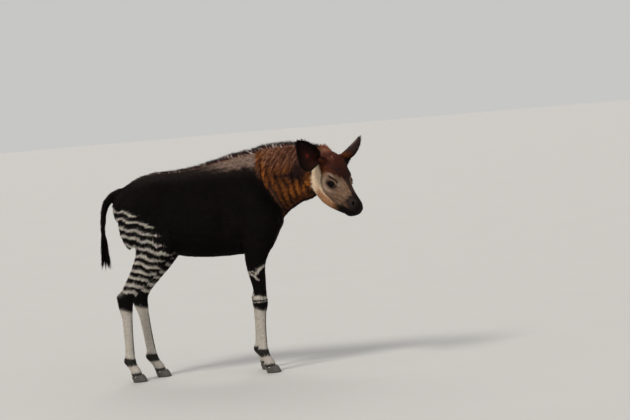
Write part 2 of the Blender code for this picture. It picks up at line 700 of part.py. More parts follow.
def mane(skin):
    """Short upright locks from the poll along the neck and back, lower towards the croup."""
    line = crest_line()
    gone = np.concatenate([[0], np.cumsum(np.linalg.norm(np.diff(line, axis=0), axis=1))])
    rng = np.random.default_rng(7)
    place, count = 0.004, 0
    while place < gone[-1]:
        share = place / gone[-1]
        root = Vector([np.interp(place, gone, line[:, k]) for k in range(3)])
        ahead = Vector([np.interp(place + 0.02, gone, line[:, k]) for k in range(3)]) - root
        root = skin.find_nearest(root + Vector((0, 0, 0.01)))[0]
        ahead = ahead.normalized()
        up = Vector((0, 1, 0)).cross(ahead) * -1
        hand = 1 if count % 2 else -1
        level = 1.0 if share < 0.45 else 1.0 - 0.62 * (share - 0.45) / 0.55
        height = MANE_HEIGHT * level * rng.uniform(0.88, 1.12)
        lean = MANE_LEAN + rng.uniform(-0.12, 0.12) + 0.35 * max(share - 0.4, 0)
        splay = hand * MANE_SPLAY * rng.uniform(0.6, 1.2)
        stand = up * math.cos(lean) + ahead * math.sin(lean) + Vector((0, 1, 0)) * math.sin(splay)
        width = MANE_WIDTH * (0.75 + 0.25 * level) * rng.uniform(0.9, 1.1)
        start = root + Vector((0, hand * 0.0032, 0)) - up * 0.003
        yield lock(start, stand, -ahead, height, width, MANE_THICKNESS * (0.7 + 0.3 * level), 0.006)
        place += MANE_SPACING * (1.0 + 0.75 * max(share - 0.4, 0) / 0.6)
        count += 1


def tail_tuft():
    """Long thin locks round the end of the dock, hanging down."""
    x, z = TAIL[-1][0], TAIL[-1][1]
    rng = np.random.default_rng(11)
    for k in range(11):
        angle = 2 * math.pi * k / 11
        start = z + 0.034 * (k % 3) + 0.004
        out = Vector((math.cos(angle), math.sin(angle), 0))
        root = Vector((x, 0, start)) + out * 0.004
        down = Vector((0, 0, -1)) + out * rng.uniform(0.04, 0.13)
        length = TAIL_TUFT_LENGTH * rng.uniform(0.80, 1.05)
        yield lock(root, down, out.cross(Vector((0, 0, 1))), length, 0.016, 0.010, rng.uniform(-0.004, 0.004))


def sheet(name, points, faces):
    """A thin cut through the body, as thick as the gap between nodes."""
    shape = new_object(name, mesh_from(name, points, faces))
    thick = shape.modifiers.new("thick", "SOLIDIFY")
    thick.thickness = GAP
    thick.offset = 0
    thick.use_even_offset = True
    return facing_out(evaluated_mesh(shape))


def flat_cut(name, centre, normal, guide, long_half, short_half):
    """A flat oval cut: long along guide, short across it."""
    turn = frame_of(normal, guide)
    points = []
    for k in range(24):
        angle = 2 * math.pi * k / 24
        points.append(Vector(centre) + turn @ Vector((long_half * math.cos(angle), short_half * math.sin(angle), 0)))
    return sheet(name, points, [tuple(range(24))])


def thigh_cut(hand, step):
    """A cut over the thigh like an arch, with a wall along its inner side."""
    arch = (
        (-0.395, 0.580),
        (-0.428, 0.680),
        (-0.470, 0.770),
        (-0.535, 0.838),
        (-0.620, 0.862),
        (-0.700, 0.845),
        (-0.790, 0.800),
    )
    inner, outer, floor = 0.022 * hand, 0.260 * hand, 0.540
    points, faces = [], []
    for x, z in arch:
        shifted = x + step * 0.10
        points += [(shifted, inner, z), (shifted, outer, z)]
    for k in range(len(arch) - 1):
        faces.append((2 * k, 2 * k + 1, 2 * k + 3, 2 * k + 2))
    front, back = len(points), len(points) + 1
    points += [(arch[0][0], inner, floor), (arch[-1][0], inner, floor)]
    faces.append((*[2 * k for k in range(len(arch))], back, front))
    return sheet("thigh", points, faces)


def cuts():
    """All the thin cuts that part the body into its nodes."""
    place = head_matrix()
    turn = place.to_3x3()
    yield flat_cut("neck", (0.026, -0.002, 0.917), (0.875, 0, 0.485), (-0.485, 0, 0.875), 0.230, 0.165)
    head = place @ Vector((0.010, -0.012, -0.054))
    yield flat_cut("head", head, turn @ Vector((0.948, 0, 0.30)), turn @ Vector((-0.30, 0, 0.948)), 0.185, 0.100)
    for hand in (1, -1):
        root, axis, width, _ = ear_frame(hand)
        yield flat_cut("ear", root + axis * EAR_CUT, axis, width, EAR_CUT_RADIUS, EAR_CUT_RADIUS)
        leg = swung(-0.050, 0.588, FORE_LEFT_STEP if hand > 0 else FORE_RIGHT_STEP, FORE_SWING_HEIGHT)
        yield flat_cut("foreleg", (leg, hand * 0.098, 0.588), (0.12, 0, 1), (1, 0, 0), 0.086, 0.078)
    yield thigh_cut(1, HIND_LEFT_STEP)
    yield thigh_cut(-1, HIND_RIGHT_STEP)
    yield flat_cut("tail", (-0.807, 0, 0.876), (-0.35, 0, -0.94), (-0.94, 0, 0.35), 0.027, 0.027)


def foot_places():
    """Each foot's name, side, and where the middle of its claws stands."""
    for end, rows, steps, height in (
        ("fore", FORELEG, (FORE_LEFT_STEP, FORE_RIGHT_STEP), FORE_SWING_HEIGHT),
        ("hind", HINDLEG, (HIND_LEFT_STEP, HIND_RIGHT_STEP), HIND_SWING_HEIGHT),
    ):
        for side, hand, step in (("left", 1, steps[0]), ("right", -1, steps[1])):
            yield f"{end}_{side}", hand, swung(rows[-1][0], rows[-1][1], step, height), rows[-1][2] * hand


def coronet(x):
    """How high the hoof reaches, at a distance ahead of the foot's middle."""
    return CORONET_HEIGHT + CORONET_SLOPE * x


def claw(foot_x, foot_y, side):
    """One claw of a cloven hoof: side is 1 for the claw on the left of the foot's slot."""
    steps = 16
    levels = ((0.0, 1.0, 0.0), (0.10, 1.03, 0.0), (0.55, 0.97, -0.006), (1.0, 0.86, -0.014))
    rings = []
    for share, scale, back in levels:
        ring = []
        for k in range(steps):
            angle = 2 * math.pi * k / steps
            ahead = 0.5 * CLAW_LENGTH * scale * math.cos(angle)
            narrow = 1 - 0.22 * math.cos(angle)
            bulge = math.sin(angle)
            out = CLAW_WIDTH * scale * narrow * (abs(bulge) ** 0.85 if bulge > 0 else 0.12 * bulge)
            x = ahead + back
            z = share * (coronet(x) - GAP)
            ring.append((foot_x + x + 0.012, foot_y + side * (CLAW_SLOT / 2 + 0.0035 + out), z))
        rings.append(ring)
    points = [p for ring in rings for p in ring]
    faces = []
    for low in range(len(rings) - 1):
        for k in range(steps):
            a, b = low * steps + k, low * steps + (k + 1) % steps
            faces.append((a, b, b + steps, a + steps))
    faces.append(tuple(range(steps)))
    faces.append(tuple(range(len(points) - steps, len(points))))
    return facing_out(mesh_from("claw", points, faces))


def foot_trim(foot_x, foot_y):
    """A block that trims the flesh of a foot along the top of its claws."""
    points = []
    for x in (-0.070, 0.090):
        for y in (-0.050, 0.050):
            for z in (-0.060, coronet(x - 0.012)):
                points.append((foot_x + x, foot_y + y, z))
    faces = ((0, 1, 3, 2), (4, 6, 7, 5), (0, 4, 5, 1), (2, 3, 7, 6), (0, 2, 6, 4), (1, 5, 7, 3))
    return facing_out(mesh_from("trim", points, faces))


def loose_parts(mesh):
    """The closed surfaces in a mesh, each with its points and faces."""
    work = bmesh.new()
    work.from_mesh(mesh)
    bmesh.ops.triangulate(work, faces=work.faces, quad_method="BEAUTY", ngon_method="BEAUTY")
    work.to_mesh(mesh)
    work.free()
    mesh.calc_loop_triangles()
    points, _ = points_of(mesh)
    faces = np.empty(len(mesh.loop_triangles) * 3, int)
    mesh.loop_triangles.foreach_get("vertices", faces)
    faces = faces.reshape(-1, 3)
    label = np.arange(len(points))
    while True:
        lowest = label[faces].min(axis=1)
        new = label.copy()
        for corner in range(3):
            np.minimum.at(new, faces[:, corner], lowest)
        new = new[new]
        if (new == label).all():
            break
        label = new
    for part in np.unique(label[faces[:, 0]]):
        inside = faces[label[faces[:, 0]] == part]
        used, index = np.unique(inside, return_inverse=True)
        yield points[used], index.reshape(-1, 3)


def volume_of(points, faces):
    """The volume that a closed surface holds."""
    a, b, c = (points[faces[:, k]] for k in range(3))
    return abs(np.einsum("ij,ij->i", a, np.cross(b, c)).sum()) / 6


def node_seeds():
    """Each node of flesh and a point that lies well inside it."""
    place = head_matrix()
    seeds = {
        "torso": Vector((-0.35, 0, 0.82)),
        "neck": Vector((0.13, -0.03, 0.96)),
        "head": place @ Vector((0.16, 0, -0.01)),
        "tail": Vector((-0.824, 0, 0.75)),
    }
    for hand, side in ((1, "left"), (-1, "right")):
        root, axis, _, _ = ear_frame(hand)
        seeds[f"ear_{side}"] = root + axis * EAR_LENGTH * 0.55
        fore = FORE_LEFT_STEP if hand > 0 else FORE_RIGHT_STEP
        hind = HIND_LEFT_STEP if hand > 0 else HIND_RIGHT_STEP
        seeds[f"foreleg_{side}"] = Vector((-0.050 + fore * 0.6, hand * 0.081, 0.30))
        seeds[f"hindleg_{side}"] = Vector((-0.66 + hind * 0.4, hand * 0.080, 0.50))
    return seeds


def named_parts(mesh):
    """The largest closed surface nearest to each node's seed, as a mesh for each node."""
    parts = sorted(loose_parts(mesh), key=lambda part: -volume_of(*part))
    seeds = node_seeds()
    found = {}
    for points, faces in parts[: len(seeds)]:
        middle = (points.min(axis=0) + points.max(axis=0)) / 2
        name = min((n for n in seeds if n not in found), key=lambda n: np.linalg.norm(np.array(seeds[n]) - middle))
        found[name] = facing_out(mesh_from(name, points, faces))
    return found


def material(name, colour, roughness):
    """A plain finish."""
    made = bpy.data.materials.new(name)
    made.use_nodes = True
    surface = made.node_tree.nodes["Principled BSDF"]
    surface.inputs["Base Color"].default_value = (*colour, 1)
    surface.inputs["Roughness"].default_value = roughness
    surface.inputs["Metallic"].default_value = 0.0
    return made


def finishes():
    """The finishes of the coat, horn and eyes, by name."""
    return {
        "dark_coat": material("dark_coat", (0.022, 0.012, 0.009), 0.62),
        "rust_coat": material("rust_coat", (0.200, 0.070, 0.024), 0.66),
        "face_coat": material("face_coat", (0.300, 0.215, 0.165), 0.70),
        "ear_coat": material("ear_coat", (0.045, 0.018, 0.013), 0.70),
        "striped_coat": material("striped_coat", (0.260, 0.235, 0.210), 0.68),
        "horn": material("horn", (0.050, 0.042, 0.038), 0.38),
        "eye": material("eye", (0.008, 0.005, 0.004), 0.06),
    }


def finish_of(name):
    """Which finish a node wears."""
    for word, finish in (
        ("ear", "ear_coat"),
        ("claw", "horn"),
        ("eye", "eye"),
        ("leg", "striped_coat"),
        ("neck", "rust_coat"),
        ("head", "face_coat"),
    ):
        if word in name:
            return finish
    return "dark_coat"


def body_nodes():
    """Torso, neck, head, ears, tail and legs, from one body."""
    body = coarser(flesh())
    skin = surface_of(body)
    opened = []
    balls = []
    for hand in (1, -1):
        centre, turn = eye_frame(hand)
        lids = EYE_RADIUS + LID_THICKNESS
        balls.append(ball("lids", centre, (lids, lids, lids), turn, 20, 12))
        socket = EYE_RADIUS + GAP
        opened += [ball("socket", centre, (socket, socket, socket), turn, 18, 10), lid_opening(hand)]
        opened.append(nostril(hand, skin))
    for _, _, foot_x, foot_y in foot_places():
        opened.append(foot_trim(foot_x, foot_y))
    roots = [ear_root(1), ear_root(-1)]
    body = boolean(body, "UNION", [*balls, *roots])
    body = boolean(body, "UNION", [ear_cup(1), ear_cup(-1)])
    body = boolean(body, "DIFFERENCE", [*opened, mouth_cutter(skin)])
    body = boolean(body, "UNION", [*mane(skin), *tail_tuft()])
    body = boolean(body, "DIFFERENCE", list(cuts()))
    return named_parts(body)


def build():
    """Clears the scene and makes every node."""
    for old in list(bpy.data.objects):
        bpy.data.objects.remove(old)
    nodes = body_nodes()
    for name, hand in (("eye_left", 1), ("eye_right", -1)):
        centre, turn = eye_frame(hand)
        nodes[name] = ball(name, centre, (EYE_RADIUS,) * 3, turn, 18, 10)
    for name, _, foot_x, foot_y in foot_places():
        nodes[f"{name}_claw_left"] = claw(foot_x, foot_y, 1)
        nodes[f"{name}_claw_right"] = claw(foot_x, foot_y, -1)
    corners = np.array([v.co for mesh in nodes.values() for v in mesh.vertices])
    low, high = corners.min(axis=0), corners.max(axis=0)
    centring = Matrix.Translation((-(low[0] + high[0]) / 2, -(low[1] + high[1]) / 2, -low[2]))
    wears = finishes()
    for name, mesh in nodes.items():
        mesh.transform(centring)
        mesh.materials.clear()
        mesh.materials.append(wears[finish_of(name)])
        made = new_object(name, mesh)
        made.data.name = name
        made.data.shade_smooth()
        made.data.set_sharp_from_angle(angle=math.radians(50))


build()
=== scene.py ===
"""A young okapi at life size, dressed: its skin, coat, mane, ears, eyes and hooves.

The body is built in its own frame, facing +X with its left side at +Y, and is then set on the
model's frame. The skin lies inside the solids by the depth of the coat, and the coat's tufts, which
are thin closed solids, lie over it along the way the hair grows.
"""

import json
import math

import bmesh
import bpy
import numpy as np
from bpy.props import FloatProperty, FloatVectorProperty, IntProperty, PointerProperty
from mathutils import Matrix, Vector
from mathutils.bvhtree import BVHTree

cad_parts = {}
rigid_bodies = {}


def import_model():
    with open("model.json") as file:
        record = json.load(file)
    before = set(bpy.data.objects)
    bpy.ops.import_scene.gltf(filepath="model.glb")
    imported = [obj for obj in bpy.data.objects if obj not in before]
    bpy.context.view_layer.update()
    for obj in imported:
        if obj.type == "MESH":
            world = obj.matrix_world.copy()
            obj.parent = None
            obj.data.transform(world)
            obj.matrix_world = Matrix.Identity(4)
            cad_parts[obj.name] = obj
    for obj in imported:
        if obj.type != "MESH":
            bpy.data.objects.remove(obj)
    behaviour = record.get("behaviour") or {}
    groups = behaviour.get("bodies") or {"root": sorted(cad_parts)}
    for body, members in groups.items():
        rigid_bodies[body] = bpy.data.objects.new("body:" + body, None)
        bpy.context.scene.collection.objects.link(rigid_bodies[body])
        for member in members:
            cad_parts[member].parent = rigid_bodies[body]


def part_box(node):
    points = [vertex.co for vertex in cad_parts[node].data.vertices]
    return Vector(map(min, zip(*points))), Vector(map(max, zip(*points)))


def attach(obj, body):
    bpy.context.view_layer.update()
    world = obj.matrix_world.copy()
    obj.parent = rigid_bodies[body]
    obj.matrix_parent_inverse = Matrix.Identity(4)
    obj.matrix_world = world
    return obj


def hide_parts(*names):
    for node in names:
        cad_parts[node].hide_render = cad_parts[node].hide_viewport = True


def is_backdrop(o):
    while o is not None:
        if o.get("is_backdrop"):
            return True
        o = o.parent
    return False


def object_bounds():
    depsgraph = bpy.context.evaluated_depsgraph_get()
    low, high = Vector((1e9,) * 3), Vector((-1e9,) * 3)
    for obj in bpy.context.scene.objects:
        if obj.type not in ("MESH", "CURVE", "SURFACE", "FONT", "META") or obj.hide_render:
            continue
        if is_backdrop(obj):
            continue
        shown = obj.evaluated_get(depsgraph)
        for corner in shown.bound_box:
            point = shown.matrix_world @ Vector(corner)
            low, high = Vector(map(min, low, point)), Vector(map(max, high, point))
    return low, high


bl_info = {
    "name": "Young okapi",
    "version": (1, 0, 0),
    "blender": (4, 5, 0),
    "location": "3D View > Sidebar > Okapi",
    "description": "Builds the skin, coat, mane, ears, eyes and hooves of a young okapi",
    "category": "Object",
}

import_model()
CAD_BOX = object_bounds()

GAP = 0.0003
RING_POINTS = 40
RINGS_BETWEEN = 6
HANDS = {"left": 1, "right": -1}

# Places on the body, forward or up, where one region ends and the next begins
FOREPARTS_END = -0.25
NECK_START = -0.02
NECK_FOOT = 0.76
SHOULDERS_END = -0.2
BARREL_END = -0.45
SHANK_TOP = 0.5
UNWRAPPED_LEG = 0.6
TAIL_START = -0.775

# Middle of a foreleg and of a hind leg, to the side
FORE_MIDDLE = 0.081
HIND_MIDDLE = 0.075

# Tufts: their width at no length and its growth with length, and how many a region may have
TUFT_LEAST_WIDTH = 0.0005
TUFT_WIDENING = 0.135
REGION_TUFTS = 19300

# What tufts carry from the skin, taken off them again when they are finished
CARRIED = ("lie", "size", "breadth", "growth", "coat_colour", "roll")

# How values for points are stored: by the shape of one value, the kind of layer and its key
STORED_AS = {(): ("FLOAT", "value"), (3,): ("FLOAT_VECTOR", "vector"), (4,): ("FLOAT_COLOR", "color")}

# How the head is carried: its origin is the middle of the skull's back, between the ears
HEAD_ORIGIN = (0.299, -0.075, 1.013)
HEAD_MIDDLE = (0.16, 0.0, 0.0)
HEAD_TURN = math.radians(38)
HEAD_DIP = math.radians(44)

# Eyes, in the head's own frame: forward, left, up
EYE_CENTRE = (0.163, 0.0555, 0.033)
EYE_OUT = (0.24, 0.93, 0.22)
EYE_RADIUS = 0.02
LID_THICKNESS = 0.003
LID_HALF_WIDTH = 0.0178
LID_HALF_HEIGHT = 0.0122
LID_TILT = math.radians(8)
LID_POINTEDNESS = 1.25
EYE_CLEARANCE = 0.0012

# The ball, the iris and the pupil
EYE_TONES = ((0.003, 0.002, 0.0018), (0.0022, 0.0012, 0.001), (0.001, 0.001, 0.0012))

# Ears
EAR_ROOT = (0.048, 0.066, 0.08)
EAR_LENGTH = 0.157
EAR_WALL = 0.0034
EAR_COAT = 0.0012
EAR_RIDGE = 0.0012
EAR_ROOT_BALL = (0.021, 0.019, 0.021)
RIGHT_EAR_AXIS = (-0.612, -0.789, 0.049)
RIGHT_EAR_FACING = (0.55, -0.65, 0.53)
LEFT_EAR_AXIS = (-0.399, 0.86, 0.316)
LEFT_EAR_FACING = (0.85, 0.5, -0.06)

# Mouth and nostrils, in the head's own frame
MOUTH_LINE = (
    (0.208, 0.048, -0.052), (0.238, 0.045, -0.04), (0.266, 0.043, -0.027), (0.292, 0.041, -0.016),
    (0.314, 0.037, -0.008), (0.331, 0.027, -0.0045), (0.342, 0.013, -0.0035), (0.3455, 0.0, -0.0035),
)
MOUTH_DEPTH = 0.007
NOSTRIL_CENTRE = (0.306, 0.027, 0.026)
NOSTRIL_RADII = (0.0115, 0.0056, 0.009)

# Legs: how far each foot stands ahead of its plain place, and the height it swings from
FORE_STEPS = {1: -0.045, -1: 0.0}
HIND_STEPS = {1: 0.055, -1: -0.045}
FORE_SWING_HEIGHT = 0.95
HIND_SWING_HEIGHT = 0.78

# Claws
CLAW_LENGTH = 0.068
CLAW_WIDTH = 0.0265
CLAW_SLOT = 0.0042
CLAW_AHEAD = 0.012
CORONET_HEIGHT = 0.036
CORONET_SLOPE = 0.2

# Sections of the torso: top x, top z, bottom x, bottom z, half width, height of the widest line
# as a share, and how full the upper and the lower half are, where 2 is an ellipse
TORSO = (
    (0.104, 0.88, 0.098, 0.8, 0.03, 0.5, 2.0, 2.0),
    (0.094, 0.94, 0.088, 0.735, 0.066, 0.5, 2.0, 2.0),
    (0.06, 1.01, 0.05, 0.672, 0.094, 0.46, 1.9, 2.0),
    (0.01, 1.064, 0.0, 0.628, 0.11, 0.42, 1.75, 2.0),
    (-0.05, 1.086, -0.05, 0.606, 0.119, 0.4, 1.65, 2.0),
    (-0.12, 1.082, -0.12, 0.597, 0.127, 0.41, 1.7, 2.1),
    (-0.215, 1.064, -0.22, 0.594, 0.137, 0.43, 1.85, 2.2),
    (-0.32, 1.043, -0.33, 0.598, 0.144, 0.45, 2.0, 2.25),
    (-0.43, 1.032, -0.44, 0.614, 0.142, 0.48, 2.05, 2.2),
    (-0.525, 1.032, -0.52, 0.645, 0.131, 0.52, 2.05, 2.1),
    (-0.605, 1.02, -0.595, 0.69, 0.121, 0.52, 2.05, 2.0),
    (-0.68, 0.99, -0.665, 0.735, 0.103, 0.52, 2.0, 2.0),
    (-0.735, 0.948, -0.722, 0.775, 0.077, 0.5, 2.0, 2.0),
    (-0.762, 0.902, -0.755, 0.82, 0.04, 0.5, 2.0, 2.0),
)

# Sections of the neck: crest x, crest z, throat x, throat z, middle y, half width, then as above
NECK = (
    (-0.11, 1.07, 0.04, 0.7, 0.0, 0.084, 0.5, 1.9, 2.0),
    (-0.04, 1.094, 0.084, 0.748, 0.0, 0.086, 0.46, 1.75, 2.0),
    (0.03, 1.11, 0.118, 0.786, -0.006, 0.078, 0.44, 1.7, 2.0),
    (0.1, 1.117, 0.162, 0.815, -0.02, 0.07, 0.44, 1.7, 2.0),
    (0.165, 1.115, 0.206, 0.838, -0.038, 0.064, 0.46, 1.75, 2.0),
    (0.225, 1.107, 0.25, 0.85, -0.057, 0.061, 0.48, 1.85, 2.0),
    (0.285, 1.086, 0.305, 0.88, -0.075, 0.054, 0.5, 2.0, 2.0),
)

# Sections of the head in its own frame: top forward, top up, bottom forward, bottom up, half width,
# then as above
HEAD = (
    (-0.052, 0.066, -0.02, -0.05, 0.046, 0.5, 2.0, 2.0),
    (-0.03, 0.087, 0.008, -0.078, 0.056, 0.55, 2.0, 2.0),
    (0.004, 0.103, 0.042, -0.097, 0.064, 0.58, 2.0, 1.95),
    (0.04, 0.118, 0.072, -0.111, 0.071, 0.59, 1.95, 1.9),
    (0.078, 0.123, 0.1, -0.119, 0.0755, 0.59, 1.9, 1.9),
    (0.116, 0.115, 0.13, -0.122, 0.0775, 0.6, 1.9, 1.9),
    (0.152, 0.097, 0.162, -0.119, 0.075, 0.6, 1.9, 1.9),
    (0.188, 0.075, 0.194, -0.109, 0.0625, 0.58, 1.9, 1.9),
    (0.226, 0.059, 0.228, -0.095, 0.05, 0.56, 1.9, 1.9),
    (0.262, 0.051, 0.26, -0.08, 0.044, 0.54, 1.95, 1.95),
    (0.292, 0.046, 0.288, -0.065, 0.0425, 0.5, 2.0, 2.1),
    (0.316, 0.039, 0.311, -0.054, 0.042, 0.48, 2.1, 2.1),
    (0.334, 0.024, 0.328, -0.042, 0.036, 0.47, 2.1, 2.0),
    (0.344, 0.004, 0.339, -0.028, 0.023, 0.46, 2.0, 2.0),
)

# Sections of a foreleg: x, z, middle y, half depth, half width
FORELEG = (
    (-0.082, 1.0, 0.058, 0.04, 0.02), (-0.062, 0.93, 0.072, 0.068, 0.032),
    (-0.036, 0.855, 0.084, 0.088, 0.043), (-0.012, 0.765, 0.094, 0.093, 0.049),
    (-0.026, 0.68, 0.094, 0.083, 0.046), (-0.047, 0.61, 0.089, 0.063, 0.04),
    (-0.056, 0.54, 0.085, 0.048, 0.035), (-0.05, 0.465, 0.082, 0.038, 0.03),
    (-0.045, 0.405, 0.081, 0.031, 0.0275), (-0.047, 0.368, 0.081, 0.034, 0.031),
    (-0.049, 0.336, 0.081, 0.033, 0.0305), (-0.051, 0.3, 0.081, 0.0265, 0.0255),
    (-0.052, 0.255, 0.081, 0.0225, 0.021), (-0.053, 0.195, 0.081, 0.0208, 0.0195),
    (-0.054, 0.142, 0.081, 0.022, 0.0208), (-0.055, 0.109, 0.081, 0.0275, 0.0255),
    (-0.042, 0.077, 0.081, 0.0222, 0.0225), (-0.03, 0.05, 0.081, 0.0262, 0.0262),
    (-0.022, 0.02, 0.081, 0.026, 0.025),
)

# Sections of a hind leg, from the hip to the foot
HINDLEG = (
    (-0.575, 0.93, 0.066, 0.09, 0.045), (-0.59, 0.85, 0.08, 0.13, 0.056),
    (-0.58, 0.765, 0.087, 0.142, 0.062), (-0.552, 0.69, 0.09, 0.116, 0.058),
    (-0.575, 0.615, 0.087, 0.08, 0.047), (-0.624, 0.54, 0.082, 0.056, 0.037),
    (-0.668, 0.48, 0.078, 0.042, 0.03), (-0.696, 0.437, 0.076, 0.038, 0.0275),
    (-0.708, 0.402, 0.075, 0.039, 0.0285), (-0.706, 0.365, 0.075, 0.034, 0.0275),
    (-0.702, 0.325, 0.075, 0.027, 0.0235), (-0.699, 0.26, 0.075, 0.024, 0.0205),
    (-0.696, 0.19, 0.075, 0.0232, 0.02), (-0.694, 0.143, 0.075, 0.024, 0.0212),
    (-0.694, 0.11, 0.075, 0.029, 0.0255), (-0.679, 0.077, 0.075, 0.023, 0.0225),
    (-0.666, 0.05, 0.075, 0.0265, 0.0262), (-0.657, 0.02, 0.075, 0.026, 0.025),
)

# Each pair of legs: its sections, its steps and the height it swings from
LEGS = {
    "fore": (FORELEG, FORE_STEPS, FORE_SWING_HEIGHT),
    "hind": (HINDLEG, HIND_STEPS, HIND_SWING_HEIGHT),
}

# Sections of the tail's dock: x, z, middle y, half depth, half width
TAIL = (
    (-0.69, 0.955, 0.0, 0.026, 0.03), (-0.744, 0.943, 0.0, 0.024, 0.026),
    (-0.79, 0.912, 0.0, 0.02, 0.021), (-0.815, 0.855, 0.0, 0.0155, 0.0165),
    (-0.825, 0.78, 0.0, 0.0125, 0.013), (-0.827, 0.71, 0.0, 0.0105, 0.0105),
    (-0.826, 0.672, 0.0, 0.008, 0.008),
)

# Muscles, bones and hollows of the body, on both sides: x, y, z, reach in x, y and z, and how far
# the skin stands out there
BODY_SWELLS = (
    (-0.08, 0.07, 1.01, 0.05, 0.05, 0.075, 0.007), (0.04, 0.1, 0.775, 0.048, 0.05, 0.055, 0.009),
    (-0.105, 0.12, 0.745, 0.06, 0.06, 0.07, 0.01), (-0.182, 0.13, 0.8, 0.028, 0.06, 0.12, -0.009),
    (-0.3, 0.15, 0.76, 0.11, 0.06, 0.1, 0.005), (-0.468, 0.135, 0.915, 0.045, 0.06, 0.06, -0.014),
    (-0.515, 0.105, 1.003, 0.028, 0.035, 0.026, 0.008), (-0.61, 0.14, 0.85, 0.08, 0.07, 0.09, 0.01),
    (-0.478, 0.12, 0.69, 0.04, 0.05, 0.045, 0.008), (-0.72, 0.08, 0.85, 0.035, 0.04, 0.06, 0.006),
    (0.048, 0.085, 0.92, 0.026, 0.05, 0.09, -0.007), (-0.118, 0.09, 0.655, 0.024, 0.03, 0.026, 0.011),
)

# Points of the legs' joints, which move as those legs are set
FORE_POINTS = (
    (-0.012, 0.081, 0.352, 0.014, 0.022, 0.026, 0.0025),
    (-0.08, 0.081, 0.372, 0.014, 0.02, 0.018, 0.004),
    (-0.084, 0.081, 0.104, 0.012, 0.018, 0.014, 0.004),
)
HIND_POINTS = (
    (-0.742, 0.075, 0.438, 0.016, 0.018, 0.024, 0.013), (-0.724, 0.075, 0.105, 0.012, 0.018, 0.014, 0.004),
)

# The same for the head, in its own frame
HEAD_SWELLS = (
    (0.105, 0.06, -0.06, 0.04, 0.03, 0.034, 0.006),
    (0.162, 0.066, 0.073, 0.026, 0.02, 0.014, 0.009),
    (0.098, 0.072, 0.055, 0.018, 0.018, 0.016, -0.003),
    (0.198, 0.054, 0.028, 0.016, 0.02, 0.016, -0.0035),
    (0.198, 0.056, -0.01, 0.04, 0.02, 0.01, 0.0028),
    (0.216, 0.048, -0.046, 0.028, 0.022, 0.014, -0.004),
    (0.24, 0.014, 0.057, 0.05, 0.014, 0.016, 0.002),
    (0.3, 0.036, 0.02, 0.016, 0.014, 0.014, 0.0035),
    (0.318, 0.034, 0.004, 0.02, 0.016, 0.008, 0.003),
    (0.312, 0.02, -0.048, 0.018, 0.02, 0.012, 0.003),
    (0.085, 0.034, 0.116, 0.013, 0.013, 0.016, 0.0035),
    (0.048, 0.062, 0.08, 0.022, 0.022, 0.022, 0.006),
    (0.13, 0.016, -0.112, 0.05, 0.014, 0.016, -0.005),
)

# Along an ear, from root to tip: share of its length, half width, half the angle it wraps, and how
# far its middle lies towards the poll
EAR_SHAPE = (
    (0.0, 0.0175, 160.0, 0.0), (0.09, 0.02, 152.0, -0.003), (0.175, 0.031, 128.0, -0.009),
    (0.28, 0.05, 98.0, -0.0145), (0.4, 0.0625, 80.0, -0.015), (0.55, 0.064, 68.0, -0.009),
    (0.72, 0.054, 58.0, 0.003), (0.88, 0.034, 48.0, 0.019), (1.0, 0.011, 40.0, 0.031),
)

# Folds of the neck's skin, as lines seen from the side: how far forward, and how high
NECK_FOLDS = (
    ((0.027, 1.067), (0.022, 1.002), (0.026, 0.957), (0.038, 0.921)),
    ((0.053, 1.034), (0.056, 0.979), (0.064, 0.939), (0.087, 0.887), (0.115, 0.834), (0.132, 0.801)),
    ((0.09, 1.001), (0.102, 0.945), (0.114, 0.902), (0.128, 0.863), (0.142, 0.825)),
    ((0.12, 0.974), (0.147, 0.934), (0.153, 0.904), (0.158, 0.871), (0.168, 0.84)),
    ((0.178, 1.004), (0.176, 0.932), (0.188, 0.893), (0.196, 0.86)),
    ((0.204, 0.972), (0.213, 0.928), (0.219, 0.905)),
    ((0.221, 0.965), (0.231, 0.934), (0.251, 0.908), (0.262, 0.882)),
)
# Painted highlights: pale lines along the lit edges of the folds
FOLD_HIGHLIGHTS = (
    ((0.065, 0.924), (0.082, 0.88), (0.105, 0.84), (0.125, 0.804)),
    ((0.008, 1.023), (0.009, 0.972), (0.021, 0.937)),
)

# Where the dark shoulder ends and the rust neck begins: height, and how far forward
SHOULDER_EDGE = (
    (0.799, 0.12), (0.831, 0.1), (0.872, 0.076), (0.909, 0.058), (0.946, 0.035),
    (0.973, 0.012), (1.013, 0.001), (1.113, 0.002),
)

# White marks on the outside of a forearm, as lines: x, z and half width at each point
FORE_MARKS = (
    ((-0.014, 0.542, 0.004), (-0.034, 0.53, 0.007), (-0.05, 0.51, 0.006), (-0.058, 0.5, 0.003)),
    ((-0.052, 0.506, 0.004), (-0.068, 0.515, 0.003), (-0.088, 0.517, 0.003), (-0.11, 0.51, 0.002)),
    ((-0.04, 0.47, 0.002), (-0.052, 0.482, 0.004), (-0.066, 0.495, 0.005), (-0.098, 0.506, 0.004)),
)

# Pale spots round the eye: where, how far they reach, and how strong they are
PALE_SPOTS = (
    ((0.126, 0.077, 0.016), (0.012, 0.03, 0.022), 0.7),
    ((0.16, 0.072, -0.006), (0.026, 0.03, 0.012), 0.8),
    ((0.19, 0.055, 0.046), (0.01, 0.03, 0.014), 0.5),
    ((0.136, 0.067, 0.064), (0.02, 0.03, 0.006), 0.7),
)

# Lines on the face: a brown line of painted shadow along the cheek's crest, at the edge of the cream, the eye's
# front corner and the stroke over it
CHEEK_SHADOW_LINE = ((0.11, 0.076, 0.004), (0.127, 0.075, -0.013), (0.15, 0.072, -0.029))
EYE_CORNER = ((0.18, 0.06, 0.037), (0.191, 0.055, 0.033))
BROW_STROKE = ((0.135, 0.069, 0.053), (0.157, 0.062, 0.056), (0.178, 0.051, 0.052))

